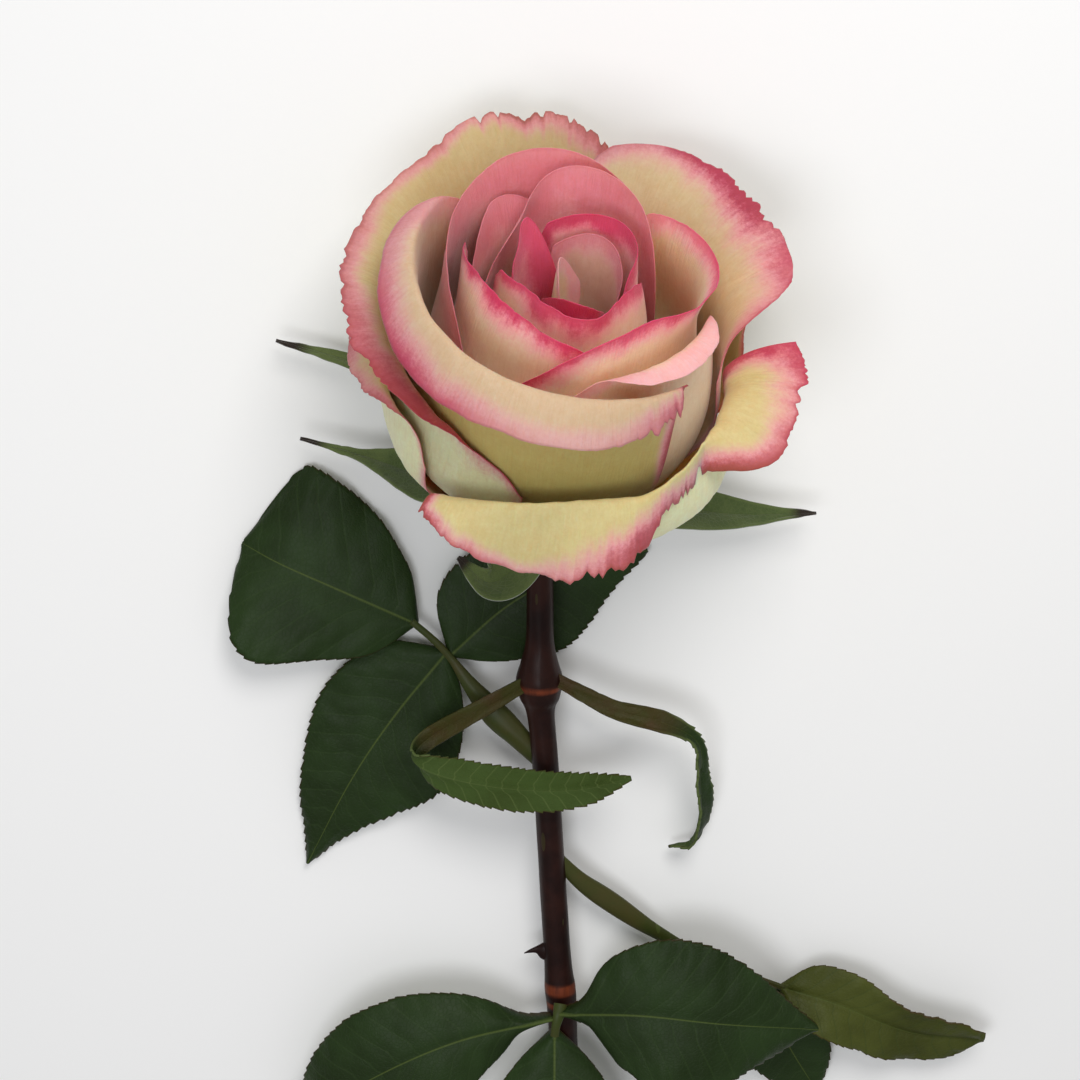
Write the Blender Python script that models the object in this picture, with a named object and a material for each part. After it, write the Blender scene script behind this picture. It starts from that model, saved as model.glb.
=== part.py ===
"""A cut rose lying on a flat surface: stem, leaves, sepals and petals, each its own solid.

Row frame: metres, +Z up, the surface is z = 0. The stem runs along Y with the bloom at +Y.
"""

import math

import bmesh
import bpy
import numpy as np
from mathutils import Matrix, Vector

MM = 0.001

# Driving dimensions
place = Vector((-14.2, 10.2, 0.0)) * MM  # moves the whole rose so that its box stands centred on the origin
bloomBase = Vector((0.0, 104.0, 21.5)) * MM  # where the petals leave the receptacle
bloomRise = 32.0  # degrees from the surface up to the bloom's axis
bloomTurn = -7.4  # degrees, the bloom's axis swung towards +X
petalThickness = 0.4 * MM
petalGrid = (10, 8)  # faces across and along a petal
leafThickness = 0.5 * MM
leafGrid = (4, 16)
sepalGrid = (4, 12)
stemSides = 16
cutSlant = 1.1  # how far the cut end leans along the stem, per unit of its height


def bloomFrame():
    """The bloom's own frame in the row frame. Its Z is the bloom's axis, and its Y side lies down."""
    rise = Matrix.Rotation(math.radians(bloomRise - 90), 4, "X")
    heading = Matrix.Rotation(math.radians(bloomTurn), 4, "Z")
    return Matrix.Translation(bloomBase) @ heading @ rise


def inBloom(azimuth, radius, height):
    """A place in the bloom, in mm of the row frame."""
    a = math.radians(azimuth)
    point = Vector((radius * math.cos(a), radius * math.sin(a), height)) * MM
    return tuple(bloomFrame() @ point / MM)


def along(values, u):
    """A number that varies smoothly over u from -1 to 1, through evenly spaced values."""
    if np.ndim(values) == 0:
        return np.full(np.shape(u), float(values))
    if len(values) == 1:
        return np.full(np.shape(u), float(values[0]))
    p = np.asarray(values, float)
    p = np.concatenate([[2 * p[0] - p[1]], p, [2 * p[-1] - p[-2]]])
    t = (np.clip(u, -1, 1) + 1) / 2 * (len(values) - 1)
    i = np.minimum(t.astype(int), len(values) - 2)
    f = t - i
    a, b, c, d = p[i], p[i + 1], p[i + 2], p[i + 3]
    return b + 0.5 * f * (c - a + f * (2 * a - 5 * b + 4 * c - d + f * (3 * (b - c) + d - a)))


def alongVectors(rows, u):
    return np.stack([along([row[k] for row in rows], u) for k in range(3)], axis=-1)


def unit(rows):
    return rows / np.linalg.norm(rows, axis=-1, keepdims=True)


# Petals, from the outside in.
# turn: first and last azimuth in degrees, 0 to the right, 90 down on the surface, 270 on top.
# layer: place of its claw on the receptacle, counted inwards.
# belly, crest and rim: radius and height in mm, one number or several spread across the petal.
# reach: how far up its ribs the petal goes, across the petal.
petals = {
    "petal_front_outer": dict(
        turn=(234, 368), layer=0, belly=([33, 33.5, 34, 34, 32.5], 19),
        crest=([38.5, 36, 34.8, 34.8, 32, 31, 31.5], [27.5, 32, 34.5, 34.5, 37, 39, 40]),
        rim=([43.5, 43.5, 39, 37.5, 40.5, 41.8, 38.5, 35.5, 34.5, 45.5, 44.2, 43.5, 42.5],
             [22, 21.5, 19, 18, 19, 22, 27, 28, 31, 34, 37.5, 40, 40]),
        reach=[0.97, 1.0, 1.0, 1.0, 1.0, 1.0, 1.0, 0.98]),
    "petal_left_outer": dict(
        turn=(108, 226), layer=0, belly=([33, 33, 33], 19),
        crest=([39, 37, 35], [37, 36, 34]), rim=([49.4, 47, 41.5, 39.5, 36.5], [33.9, 34, 33, 29, 26]),
        reach=[0.995, 1.0, 1.0, 1.0, 0.9, 0.7]),
    "petal_back_outer": dict(
        turn=(12, 103), layer=0, belly=([32, 33, 33], 19),
        crest=([37, 39, 39], [38, 40, 39]), rim=([44, 52, 54.1, 50.5], [37, 41, 42, 38]),
        reach=[0.65, 0.95, 1.0, 0.98, 0.75]),
    "petal_left_back": dict(
        turn=(82, 259), layer=1, belly=([30.5, 31, 31.5, 31, 29.5], 20),
        crest=([37, 37.5, 36, 33.5, 31], [44, 45, 44, 41.5, 33]),
        rim=([46.5, 49.2, 45.2, 45, 40.2, 34.8, 32.9], [55.5, 55.5, 51.5, 46.5, 45, 40.5, 32]),
        reach=[0.95, 1.0, 1.0, 1.0, 1.0, 1.0, 0.9]),
    "petal_right_back": dict(
        turn=(-8, 108), layer=2, belly=([28.5, 29, 29], 21),
        crest=([28.5, 31, 31.5, 29.5], [44, 45, 46, 46]),
        rim=([34.5, 41.4, 45.6, 47.2, 41.6, 33.2], [51, 52, 52, 52.5, 52.5, 52]),
        reach=[0.8, 1.0, 1.0, 1.0, 1.0, 0.8]),
    "petal_left_front": dict(
        turn=(130, 314), layer=3, belly=([27.5, 28, 28, 27.5, 27], 22),
        crest=([29.5, 30.5, 31, 32.5, 32.5, 32, 30.5], [56, 59, 60, 60, 59, 58, 55.5]),
        rim=([33, 35, 37.5, 39.2, 39.5, 38.3, 34.5], [58, 59, 57, 53, 53, 53, 50.5]),
        reach=[0.85, 0.98, 1.0, 1.0, 1.0, 1.0, 0.98]),
    "petal_front_right": dict(
        turn=(256, 372), layer=4, belly=([26, 26.3, 26.5], 23),
        crest=([26.2, 26.8, 25.5, 24.5, 25], [53, 57.5, 58, 57, 54]),
        rim=([27.8, 30.6, 31.2, 28.5, 28], [55, 59.5, 60, 59.5, 56]),
        reach=[0.8, 0.98, 1.0, 1.0, 0.8]),
    "petal_back_first": dict(
        turn=(69.5, 232), layer=4, belly=([25.5, 26, 26, 25.5], 24),
        crest=([24.5, 26, 25.5, 25], [52, 54, 52, 42]),
        rim=([22.6, 27.6, 29, 27.2, 25.2, 25, 26], [61, 62.5, 62.5, 60.5, 58, 55, 47]),
        reach=[0.97, 1.0, 1.0, 1.0, 1.0, 1.0, 0.9]),
    "petal_right_wrap": dict(
        turn=(240, 427), layer=5, belly=([24.5, 24, 23.5, 24, 24], 25),
        crest=([25.5, 24.5, 22, 21.5, 22, 22.5, 23], [50, 54, 56, 54, 52, 51, 50]),
        rim=([28.3, 25.8, 21.8, 23.4, 24.5, 23.8, 25], [53, 64, 65.5, 63.5, 61, 59.5, 57.5]),
        reach=[0.88, 0.98, 1.0, 1.0, 1.0, 1.0, 0.95]),
    "petal_left_inner": dict(
        turn=(160, 300), layer=6, belly=([22.5, 22.5, 22], 26),
        crest=([22.5, 21.5, 20.5], [47, 50, 50]),
        rim=([23.6, 20.2, 18.4, 20.4, 18.5], [57, 60, 60, 59.5, 57]),
        reach=[0.97, 1.0, 1.0, 1.0, 0.88]),
    "petal_back_second": dict(
        turn=(92, 172), layer=7, belly=([21.5, 21.5, 20.5], 27),
        crest=([21.5, 22, 20.5], [46, 47, 46]), rim=([22.5, 23.8, 25, 23, 20.6], [54, 56.5, 57, 56, 53]),
        reach=[0.85, 1.0, 0.9]),
    "petal_dome": dict(
        turn=(25, 180), layer=8, belly=([17.5, 19.5, 18.5], 28),
        crest=([16.5, 20, 17.5], [43, 50, 42]), rim=([14.8, 19.3, 23.4, 16.2, 18], [54, 62, 62.5, 59, 51.5]),
        reach=[0.95, 1.0, 1.0, 1.0, 0.92]),
    "petal_heart_front": dict(
        turn=(182, 372), layer=9, belly=([16.2, 16, 15], 30),
        crest=([15.8, 14.5, 13], [46, 48, 46]),
        rim=([15.8, 12.2, 13.2, 14.2, 10.4, 9.8, 10.3], [58, 59, 60, 60, 60, 59.5, 58]),
        reach=[1.0, 1.0, 1.0, 1.0, 1.0, 1.0, 0.95]),
    "petal_folded": dict(
        turn=(120, 205), layer=11, belly=([11, 12.5, 12.5], 32),
        crest=([9, 12.5, 11.5], [44, 48, 44]), rim=([7.2, 14.2, 13, 12.6, 10.4], [54, 60.5, 59, 58, 55]),
        reach=[0.95, 1.0, 0.95]),
    "petal_heart_back": dict(
        turn=(-22, 128), layer=10, belly=([11.5, 14, 14], 31),
        crest=([9, 13.5, 14], [46, 48, 46]), rim=([7.4, 8, 12.2, 14.9, 14.2, 13.6], [56, 57.5, 58.5, 59, 59, 58]),
        reach=[0.95, 1.0, 1.0, 1.0]),
    "petal_heart_inner": dict(
        turn=(200, 318), layer=12, belly=([9.5, 9.5, 9], 33),
        crest=([8.3, 8.5, 7.6], [45, 46, 45]), rim=([7, 7.2, 8.3, 8.2, 6.3], [55, 57, 58, 57.5, 55]),
        reach=[0.95, 1.0, 0.95]),
    "petal_heart_curl": dict(
        turn=(30, 115), layer=12, belly=([8.5, 9.5, 9], 33),
        crest=([7.5, 9.3, 9.3], [44, 45, 44]), rim=([6.8, 9.4, 9.8, 10.2], [52, 54, 55, 54]),
        reach=[0.9, 1.0, 0.95]),
    "petal_heart_sliver": dict(
        turn=(105, 215), layer=13, belly=([4.6, 4.4, 4.2], 34),
        crest=([4.4, 4, 3.4], [43, 44, 43]), rim=([5, 3.8, 2.8], [51.5, 52.5, 50]),
        reach=[0.9, 1.0, 0.9]),
}


def claw(layer):
    """Radius and height, in mm, of the foot of a petal in this layer."""
    return 8.8 - 0.62 * layer, -1.6 + 0.85 * layer


def profile(spec, u, v):
    """Radius and height, in mm, at share v of the way up the rib at u: a curve through claw, belly, crest, rim."""
    knots = (claw(spec["layer"]), spec["belly"], spec["crest"], spec["rim"])
    flare = math.radians(10 + 4.5 * spec["layer"])
    values = [[along(knot[k], u) for knot in knots] for k in (0, 1)]
    gap = [np.hypot(*(p[k + 1] - p[k] for p in values)) for k in range(3)]
    start = (0, gap[0], gap[0] + gap[1])
    s = v * (gap[0] + gap[1] + gap[2])
    out = []
    for p, lean in zip(values, (math.cos(flare), math.sin(flare))):
        slope = [
            1.25 * lean,
            (p[2] - p[0]) / (gap[0] + gap[1]),
            (p[3] - p[1]) / (gap[1] + gap[2]),
        ]
        slope.append(2 * (p[3] - p[2]) / gap[2] - slope[2])
        value = np.zeros(np.shape(u))
        for k in range(3):
            f = np.clip((s - start[k]) / gap[k], 0, 1)
            first = (2 * f**3 - 3 * f**2 + 1) * p[k] + (f**3 - 2 * f**2 + f) * gap[k] * slope[k]
            last = (3 * f**2 - 2 * f**3) * p[k + 1] + (f**3 - f**2) * gap[k] * slope[k + 1]
            value = np.where(s >= start[k], first + last, value)
        out.append(value)
    return out


def petalPoints(spec, u, v):
    """Points of a petal's middle surface, in mm of the bloom's own frame."""
    radius, height = profile(spec, u, v * along(spec["reach"], u))
    first, last = (math.radians(x) for x in spec["turn"])
    azimuth = (first + last) / 2 + (last - first) / 2 * u
    return np.stack([radius * np.cos(azimuth), radius * np.sin(azimuth), height], axis=-1)


def paint(name, color, roughness):
    material = bpy.data.materials.new(name)
    material.use_nodes = True
    shader = material.node_tree.nodes["Principled BSDF"]
    shader.inputs["Base Color"].default_value = (*color, 1)
    shader.inputs["Roughness"].default_value = roughness
    shader.inputs["Metallic"].default_value = 0
    return material


def sheet(name, grid, pointsAt, thickness, material):
    """One thin body: a grid over u and v from -1 to 1 moved to its middle surface and thickened."""
    bm = bmesh.new()
    bmesh.ops.create_grid(bm, x_segments=grid[0], y_segments=grid[1], size=1.0)
    u = np.array([vert.co.x for vert in bm.verts])
    v = np.array([vert.co.y for vert in bm.verts])
    for vert, point in zip(bm.verts, pointsAt(u, v)):
        vert.co = Vector(point) * MM + place
    mesh = bpy.data.meshes.new(name)
    bm.to_mesh(mesh)
    bm.free()
    mesh.shade_smooth()
    obj = bpy.data.objects.new(name, mesh)
    bpy.context.scene.collection.objects.link(obj)
    mesh.materials.append(material)
    wall = obj.modifiers.new("wall", "SOLIDIFY")
    wall.thickness = thickness
    wall.offset = 0
    return obj


def petal(name, spec, material):
    frame = bloomFrame()
    turn = np.array(frame.to_3x3())
    base = np.array(frame.translation) / MM

    def points(u, v):
        return petalPoints(spec, np.sin(u * math.pi / 2), (v + 1) / 2) @ turn.T + base

    sheet(name, petalGrid, points, petalThickness, material)


# Leaves, bracts and sepals: a blade along a spine.
# spine: places in mm. up: which way the upper face looks along it. half: half the width, in mm.
# fold: degrees that each side is raised from the midrib. curl: how far the edges bend down, in mm.
# teeth: depth of the saw edge, as a share of the width.
def blade(name, spec, grid, thickness, material):
    spine = spec["spine"]

    def points(u, v):
        step = 0.02
        tangent = unit(alongVectors(spine, np.clip(v + step, -1, 1)) - alongVectors(spine, v - step))
        up = alongVectors(spec["up"], v)
        side = unit(np.cross(tangent, up))
        up = np.cross(side, tangent)
        row = np.round((v + 1) / 2 * grid[1])
        saw = 1 + spec.get("teeth", 0) * np.where(row % 2 == 0, -1, 1) * np.abs(u) ** 4
        half = along(spec["half"], v) * saw
        fold = np.radians(along(spec.get("fold", 0), v))
        across = (half * u * np.cos(fold))[:, None] * side
        lift = half * np.abs(u) * np.sin(fold) - along(spec.get("curl", 0), v) * u**2
        return alongVectors(spine, v) + across + lift[:, None] * up

    sheet(name, grid, points, thickness, material)


above = (0, 0.2, 1)
leaflets = {
    "leaflet_left_end": dict(
        spine=[(-27.5, 67.5, 5.5), (-44, 78.5, 5.5), (-58, 88, 4.5), (-67, 92, 2.0)], up=[above],
        half=[1.2, 16, 23, 22, 15, 1.5], fold=6, curl=1.5, teeth=0.03),
    "leaflet_left_low": dict(
        spine=[(-23.5, 59.5, 5.0), (-33, 46, 4.5), (-42, 31, 3.8), (-53.3, 10.5, 2.2)], up=[above],
        half=[1.0, 14, 18, 16, 9, 0.8], fold=5, curl=1.5, teeth=0.03),
    "leaflet_left_right": dict(
        spine=[(-19.3, 61.5, 4.5), (-8, 72, 3.8), (6, 79, 3.2), (21, 83, 2.4)], up=[(0, 0, 1)],
        half=[1.0, 10, 13, 12, 8, 0.8], fold=2, curl=0.8, teeth=0.03),
    "leaflet_top_left": dict(
        spine=[(-4.5, -18.5, 14.5), (-22, -21, 18.5), (-42, -31, 17), (-60, -48, 10)],
        up=[above], half=[1.0, 9, 14.5, 14.5, 9, 0.8], fold=8, curl=4, teeth=0.03),
    "leaflet_top_right": dict(
        spine=[(6.5, -17.5, 15.5), (20, -17.5, 19), (38, -19, 20), (59, -22.5, 16)],
        up=[above], half=[1.0, 12, 17.5, 16, 9, 1.0], fold=8, curl=3, teeth=0.03),
    "leaflet_top_low": dict(
        spine=[(1.6, -26.4, 13.3), (1.5, -40, 17), (1, -58, 16.5), (-1, -78, 12)],
        up=[(0, 0, 1)], half=[1.0, 10, 14.5, 14, 9, 0.8], fold=8, curl=3, teeth=0.03),
    "leaflet_right_end": dict(
        spine=[(51.5, -17.5, 6.0), (64, -21, 7.5), (80, -28, 7), (97, -30, 7)],
        up=[(0, 0.5, 1), (0, 0.3, 1), (0, -0.2, 1), (0, -0.6, 1)],
        half=[1.0, 7, 8.5, 7.5, 6, 2.0], fold=22, curl=1.5, teeth=0.03),
    "leaflet_right_low": dict(
        spine=[(50.5, -20.5, 3.8), (55, -32, 3.8), (64, -47, 2.0)],
        up=[(0, 0, 1)], half=[0.8, 8, 10, 8, 0.8], fold=5, curl=1, teeth=0.03),
    "bract_left": dict(
        spine=[(-6.6, 55.5, 11.5), (-15, 51, 13.3), (-25, 45, 13.5), (-29, 40.5, 16),
               (-23, 36.5, 18.5), (-8, 33, 18.5), (6, 32.5, 18), (17, 36.5, 18.5)],
        up=[(0, 0.3, 1), (0, 0.3, 1), (0.3, 0.3, 1), (1, 0.2, 0), (0.2, -0.1, -1),
            (0, -0.3, -1), (0, -0.3, -1), (0, -0.3, -1)],
        half=[1.6, 2.4, 2.6, 3.0, 4.0, 5.2, 5.4, 3.8, 0.8], fold=16, teeth=0.04),
    "bract_right": dict(
        spine=[(6.0, 55.5, 11.5), (14, 51.5, 13.5), (24, 47.5, 13.5), (31, 42, 12.5),
               (34, 33, 10.5), (34, 24, 8), (31.5, 18, 5.5), (26.5, 15.5, 3.5)],
        up=[(0, 0.4, 1), (0, 0.4, 1), (0.3, 0.4, 1), (0.8, 0.3, 0.8), (1, 0, 0.6),
            (1, 0, 0.5), (1, -0.2, 0.5), (1, -0.6, 0.6)],
        half=[1.4, 2.2, 2.6, 2.0, 3.4, 4.0, 3.0, 0.7], fold=12, teeth=0.05),
}

sepals = {
    "sepal_left_low": dict(
        spine=[inBloom(184, 10.0, -4.2), inBloom(172, 22, -8), inBloom(167, 36, -9.5), inBloom(168, 52, -9)],
        half=[3.4, 5.2, 6.0, 4.6, 1.6, 0.6], fold=14),
    "sepal_left_high": dict(
        spine=[inBloom(134, 10.0, -4.2), inBloom(143, 24, -2.5), inBloom(152, 43, 4), inBloom(159, 62, 7)],
        half=[3.0, 3.6, 3.2, 2.6, 1.6, 0.5], fold=14),
    "sepal_right": dict(
        spine=[inBloom(12, 10.0, -4.2), inBloom(10, 24, -8), inBloom(9, 41, -10.5), inBloom(9, 57, -10)],
        half=[3.2, 5.0, 5.4, 4.2, 1.8, 0.6], fold=14),
    "sepal_front": dict(
        spine=[inBloom(258, 10.0, -4.2), inBloom(255, 16, -8.5), inBloom(245, 22, -10), inBloom(228, 24, -6)],
        half=[3.2, 5.0, 4.8, 2.0, 0.5], fold=10),
    "sepal_back": dict(
        spine=[inBloom(84, 10.0, -4.2), inBloom(84, 13.5, -9), inBloom(84, 13, -16), inBloom(86, 11, -21)],
        half=[2.8, 3.4, 2.6, 0.5], fold=6),
}

# The stem's line from its cut end to the foot of the bloom, then up the bloom's axis through the receptacle.
stemLine = [
    (6.0, -192.0, 3.4, 3.3), (6.6, -150.0, 4.2, 3.15), (5.6, -105.0, 5.0, 3.1), (4.6, -62.0, 5.8, 3.05),
    (3.9, -38.0, 6.3, 3.05), (3.2, -22.0, 6.8, 3.3), (2.8, -17.0, 7.0, 3.4), (2.3, -10.0, 7.2, 3.0),
    (0.8, 15.0, 8.0, 2.85), (-0.5, 38.0, 8.8, 2.8), (-1.4, 49.0, 9.3, 3.0), (-1.6, 53.0, 9.5, 4.2),
    (-1.7, 57.0, 9.8, 4.5), (-1.7, 61.0, 10.0, 3.6), (-1.6, 66.0, 10.4, 3.0), (-1.6, 76.0, 11.4, 2.8),
    (-1.6, 86.0, 13.0, 2.8), (-1.5, 92.0, 14.8, 3.0),
]
receptacle = [(-9.0, 4.4), (-6.4, 7.0), (-4.2, 8.6), (-2.8, 9.0), (-1.6, 7.8), (1.0, 6.0), (4.0, 4.0), (7.5, 1.4)]

prickles = {
    "prickle_left": ((1.7, -8.0, 7.4), (-1.0, -0.25, 0.1), 2.4, 4.2),
    "prickle_right": ((0.0, 29.0, 8.6), (1.0, 0.35, 0.35), 1.8, 3.6),
    "prickle_low_left": ((4.6, -62.0, 6.2), (-1.0, -0.3, 0.3), 2.6, 5.0),
    "prickle_low_right": ((5.8, -112.0, 5.4), (1.0, -0.3, 0.35), 2.6, 5.0),
    "prickle_low_top": ((6.6, -150.0, 4.6), (-0.5, -0.35, 1.0), 2.6, 4.6),
}

petioles = {
    "petiole_left": [
        (-5.4, 42.0, 7.4, 2.0), (-10.5, 47.0, 6.6, 2.3), (-16.0, 53.5, 6.0, 1.6), (-20.0, 59.3, 5.6, 0.9),
        (-23.5, 63.5, 5.6, 0.8), (-26.6, 66.8, 5.6, 0.8),
    ],
    "petiole_right": [
        (5.6, 10.5, 7.0, 1.8), (14.0, 3.0, 5.6, 2.6), (24.0, -4.5, 5.0, 1.6), (37.0, -12.0, 5.0, 0.9),
        (50.4, -17.0, 6.0, 0.8),
    ],
    "petiole_top": [
        (2.9, -18.6, 11.6, 1.5), (2.5, -20.6, 12.8, 1.3), (1.9, -23.0, 13.3, 1.0), (1.6, -25.6, 13.3, 0.9),
    ],
}


def tube(line, sides, flat=1.0):
    """A closed round body along a line of (x, y, z, radius). flat is its height over its width."""
    points = np.array([row[:3] for row in line], float)
    radii = [row[3] for row in line]
    tangents = unit(np.gradient(points, axis=0))
    bm = bmesh.new()
    rings = []
    for point, tangent, radius in zip(points, tangents, radii):
        side = unit(np.cross(tangent, (0, 0, 1.0)))
        up = np.cross(side, tangent)
        ring = []
        for k in range(sides):
            a = 2 * math.pi * k / sides
            spot = point + radius * (math.cos(a) * side + flat * math.sin(a) * up)
            ring.append(bm.verts.new(Vector(spot) * MM + place))
        rings.append(ring)
    for lower, upper in zip(rings, rings[1:]):
        for k in range(sides):
            bm.faces.new((lower[k], lower[(k + 1) % sides], upper[(k + 1) % sides], upper[k]))
    bm.faces.new(rings[0])
    bm.faces.new(rings[-1])
    bmesh.ops.recalc_face_normals(bm, faces=bm.faces)
    return bm


def finish(name, bm, material):
    mesh = bpy.data.meshes.new(name)
    bm.to_mesh(mesh)
    bm.free()
    mesh.shade_smooth()
    obj = bpy.data.objects.new(name, mesh)
    bpy.context.scene.collection.objects.link(obj)
    mesh.materials.append(material)
    return obj


def stem(material):
    """Stem, ring and receptacle are one body, with the prickles joined to it."""
    line = list(stemLine) + [(*inBloom(0, 0, height), radius) for height, radius in receptacle]
    bm = tube(line, stemSides)
    bm.verts.ensure_lookup_table()
    for vert in bm.verts[:stemSides]:
        vert.co.y += cutSlant * (vert.co.z - stemLine[0][2] * MM)
    body = finish("stem", bm, material)
    for name, (foot, way, base, length) in prickles.items():
        way = Vector(way).normalized()
        foot = Vector(foot)
        tip = foot + way * (2.6 + length)
        line = [(*foot, base), (*(foot + way * 2.6), base * 0.75), (*(foot + way * (2.6 + length * 0.5)), 0.6)]
        helper = finish(name, tube(line + [(*tip, 0.15)], 8, 0.45), material)
        helper.hide_render = True
        helper.display_type = "WIRE"
        join = body.modifiers.new(name, "BOOLEAN")
        join.operation = "UNION"
        join.solver = "EXACT"
        join.object = helper


def build():
    for old in list(bpy.data.objects):
        bpy.data.objects.remove(old)
    petalPaint = paint("petal", (0.80, 0.55, 0.40), 0.55)
    leafPaint = paint("leaf", (0.05, 0.10, 0.04), 0.4)
    stalkPaint = paint("stalk", (0.20, 0.16, 0.05), 0.45)
    sepalPaint = paint("sepal", (0.16, 0.22, 0.08), 0.7)
    stemPaint = paint("stem", (0.09, 0.025, 0.02), 0.35)
    for name, spec in petals.items():
        petal(name, spec, petalPaint)
    for name, spec in leaflets.items():
        blade(name, spec, leafGrid, leafThickness, leafPaint)
    outward = bloomFrame().to_3x3() @ Vector((0, -0.3, 1))
    for name, spec in sepals.items():
        blade(name, dict(spec, up=[tuple(outward)]), sepalGrid, leafThickness, sepalPaint)
    for name, line in petioles.items():
        finish(name, tube(line, 8, 0.55), stalkPaint)
    stem(stemPaint)


build()
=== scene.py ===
import math

import bmesh
import bpy
import numpy as np
from mathutils import Matrix, Vector, noise


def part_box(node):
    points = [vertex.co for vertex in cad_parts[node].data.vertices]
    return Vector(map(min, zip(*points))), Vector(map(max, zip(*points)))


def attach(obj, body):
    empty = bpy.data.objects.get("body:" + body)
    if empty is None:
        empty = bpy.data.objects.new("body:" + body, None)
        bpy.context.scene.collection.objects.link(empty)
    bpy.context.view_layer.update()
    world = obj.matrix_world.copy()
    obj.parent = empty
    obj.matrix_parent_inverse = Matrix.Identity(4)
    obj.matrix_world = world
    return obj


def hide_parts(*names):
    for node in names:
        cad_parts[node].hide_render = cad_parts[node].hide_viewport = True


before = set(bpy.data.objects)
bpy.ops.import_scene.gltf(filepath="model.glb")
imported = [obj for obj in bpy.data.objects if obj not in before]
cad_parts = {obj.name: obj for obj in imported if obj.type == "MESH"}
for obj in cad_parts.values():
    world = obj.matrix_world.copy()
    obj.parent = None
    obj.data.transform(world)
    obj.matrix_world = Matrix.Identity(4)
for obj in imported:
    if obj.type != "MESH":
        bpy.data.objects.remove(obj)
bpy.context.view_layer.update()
mm = 0.001

# Where the stem stands says where the whole rose does. Its lowest corner in the numbers below, mm:
stemCorner = Vector((-9.231, -195.567, 0.101)) * mm
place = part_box("stem")[0] - stemCorner

bloom = {
    "foot": (0.0, 104.0, 21.5),  # where the petals leave the receptacle, mm
    "rise": 32.0,  # degrees from the surface up to the bloom's axis
    "turn": -7.4,  # degrees the axis swings towards +X
    "pitch": 0.62,  # mm between ribs at the rim
    "up": 90,  # faces from claw to rim
    "thickness": 0.35,
}


def bloomFrame():
    rise = Matrix.Rotation(math.radians(bloom["rise"] - 90), 4, "X")
    heading = Matrix.Rotation(math.radians(bloom["turn"]), 4, "Z")
    return Matrix.Translation(Vector(bloom["foot"])) @ heading @ rise


def inBloom(azimuth, radius, height):
    a = math.radians(azimuth)
    return tuple(bloomFrame() @ Vector((radius * math.cos(a), radius * math.sin(a), height)))


def along(values, u):
    # a number that varies smoothly over u from -1 to 1, through evenly spaced values
    if np.ndim(values) == 0:
        return np.full(np.shape(u), float(values))
    if len(values) == 1:
        return np.full(np.shape(u), float(values[0]))
    p = np.asarray(values, float)
    p = np.concatenate([[2 * p[0] - p[1]], p, [2 * p[-1] - p[-2]]])
    t = (np.clip(u, -1, 1) + 1) / 2 * (len(values) - 1)
    i = np.minimum(t.astype(int), len(values) - 2)
    f = t - i
    a, b, c, d = p[i], p[i + 1], p[i + 2], p[i + 3]
    return b + 0.5 * f * (c - a + f * (2 * a - 5 * b + 4 * c - d + f * (3 * (b - c) + d - a)))


def alongRows(rows, u):
    return np.stack([along([row[k] for row in rows], u) for k in range(3)], axis=-1)


def unit(rows):
    return rows / np.maximum(np.linalg.norm(rows, axis=-1, keepdims=True), 1e-9)


def smooth(low, high, x):
    t = np.clip((x - low) / (high - low), 0, 1)
    return t * t * (3 - 2 * t)


def offSurface(heights):
    # keeps what would dip into the surface it lies on just above it, mm
    return np.where(heights < 1.5, 0.35 + 1.15 * np.exp((np.minimum(heights, 1.5) - 1.5) / 1.15), heights)


def wander(x, y, seed):
    # smooth noise between about -1 and 1 at each (x, y)
    return np.array([noise.noise(Vector((a + seed * 7.31, b - seed * 3.17, seed * 1.7)))
                     for a, b in zip(x, y)])


def nodeOf(tree, kind, x, y, **values):
    # one shader node, with its properties and its inputs' values set by name
    node = tree.nodes.new(kind)
    node.location = (x, y)
    for key, value in values.items():
        if key in node.inputs:
            node.inputs[key].default_value = value
        else:
            setattr(node, key, value)
    return node


def blankMaterial(name):
    material = bpy.data.materials.new(name)
    material.use_nodes = True
    tree = material.node_tree
    return material, tree, tree.nodes["Principled BSDF"]


def mixColour(tree, x, y, factor, first, second, blend="MIX"):
    mix = nodeOf(tree, "ShaderNodeMix", x, y, data_type="RGBA", blend_type=blend)
    for socket, value in ((mix.inputs[0], factor), (mix.inputs[6], first), (mix.inputs[7], second)):
        if isinstance(value, bpy.types.NodeSocket):
            tree.links.new(value, socket)
        elif np.ndim(value):
            socket.default_value = (*value, 1)
        else:
            socket.default_value = value
    return mix.outputs[2]


def compute(tree, x, y, operation, first, second=0.0, third=0.0, clamp=False):
    node = nodeOf(tree, "ShaderNodeMath", x, y, operation=operation, use_clamp=clamp)
    for socket, value in zip(node.inputs, (first, second, third)):
        if isinstance(value, bpy.types.NodeSocket):
            tree.links.new(value, socket)
        else:
            socket.default_value = value
    return node.outputs[0]


def ramp(tree, x, y, factor, stops):
    node = nodeOf(tree, "ShaderNodeValToRGB", x, y)
    node.color_ramp.interpolation = "EASE"
    while len(node.color_ramp.elements) < len(stops):
        node.color_ramp.elements.new(0.5)
    for element, (position, colour) in zip(node.color_ramp.elements, stops):
        element.position = position
        element.color = (*colour, 1)
    tree.links.new(factor, node.inputs[0])
    return node.outputs[0]


def attribute(tree, x, y, name):
    return nodeOf(tree, "ShaderNodeAttribute", x, y, attribute_name=name).outputs["Fac"]


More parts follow.
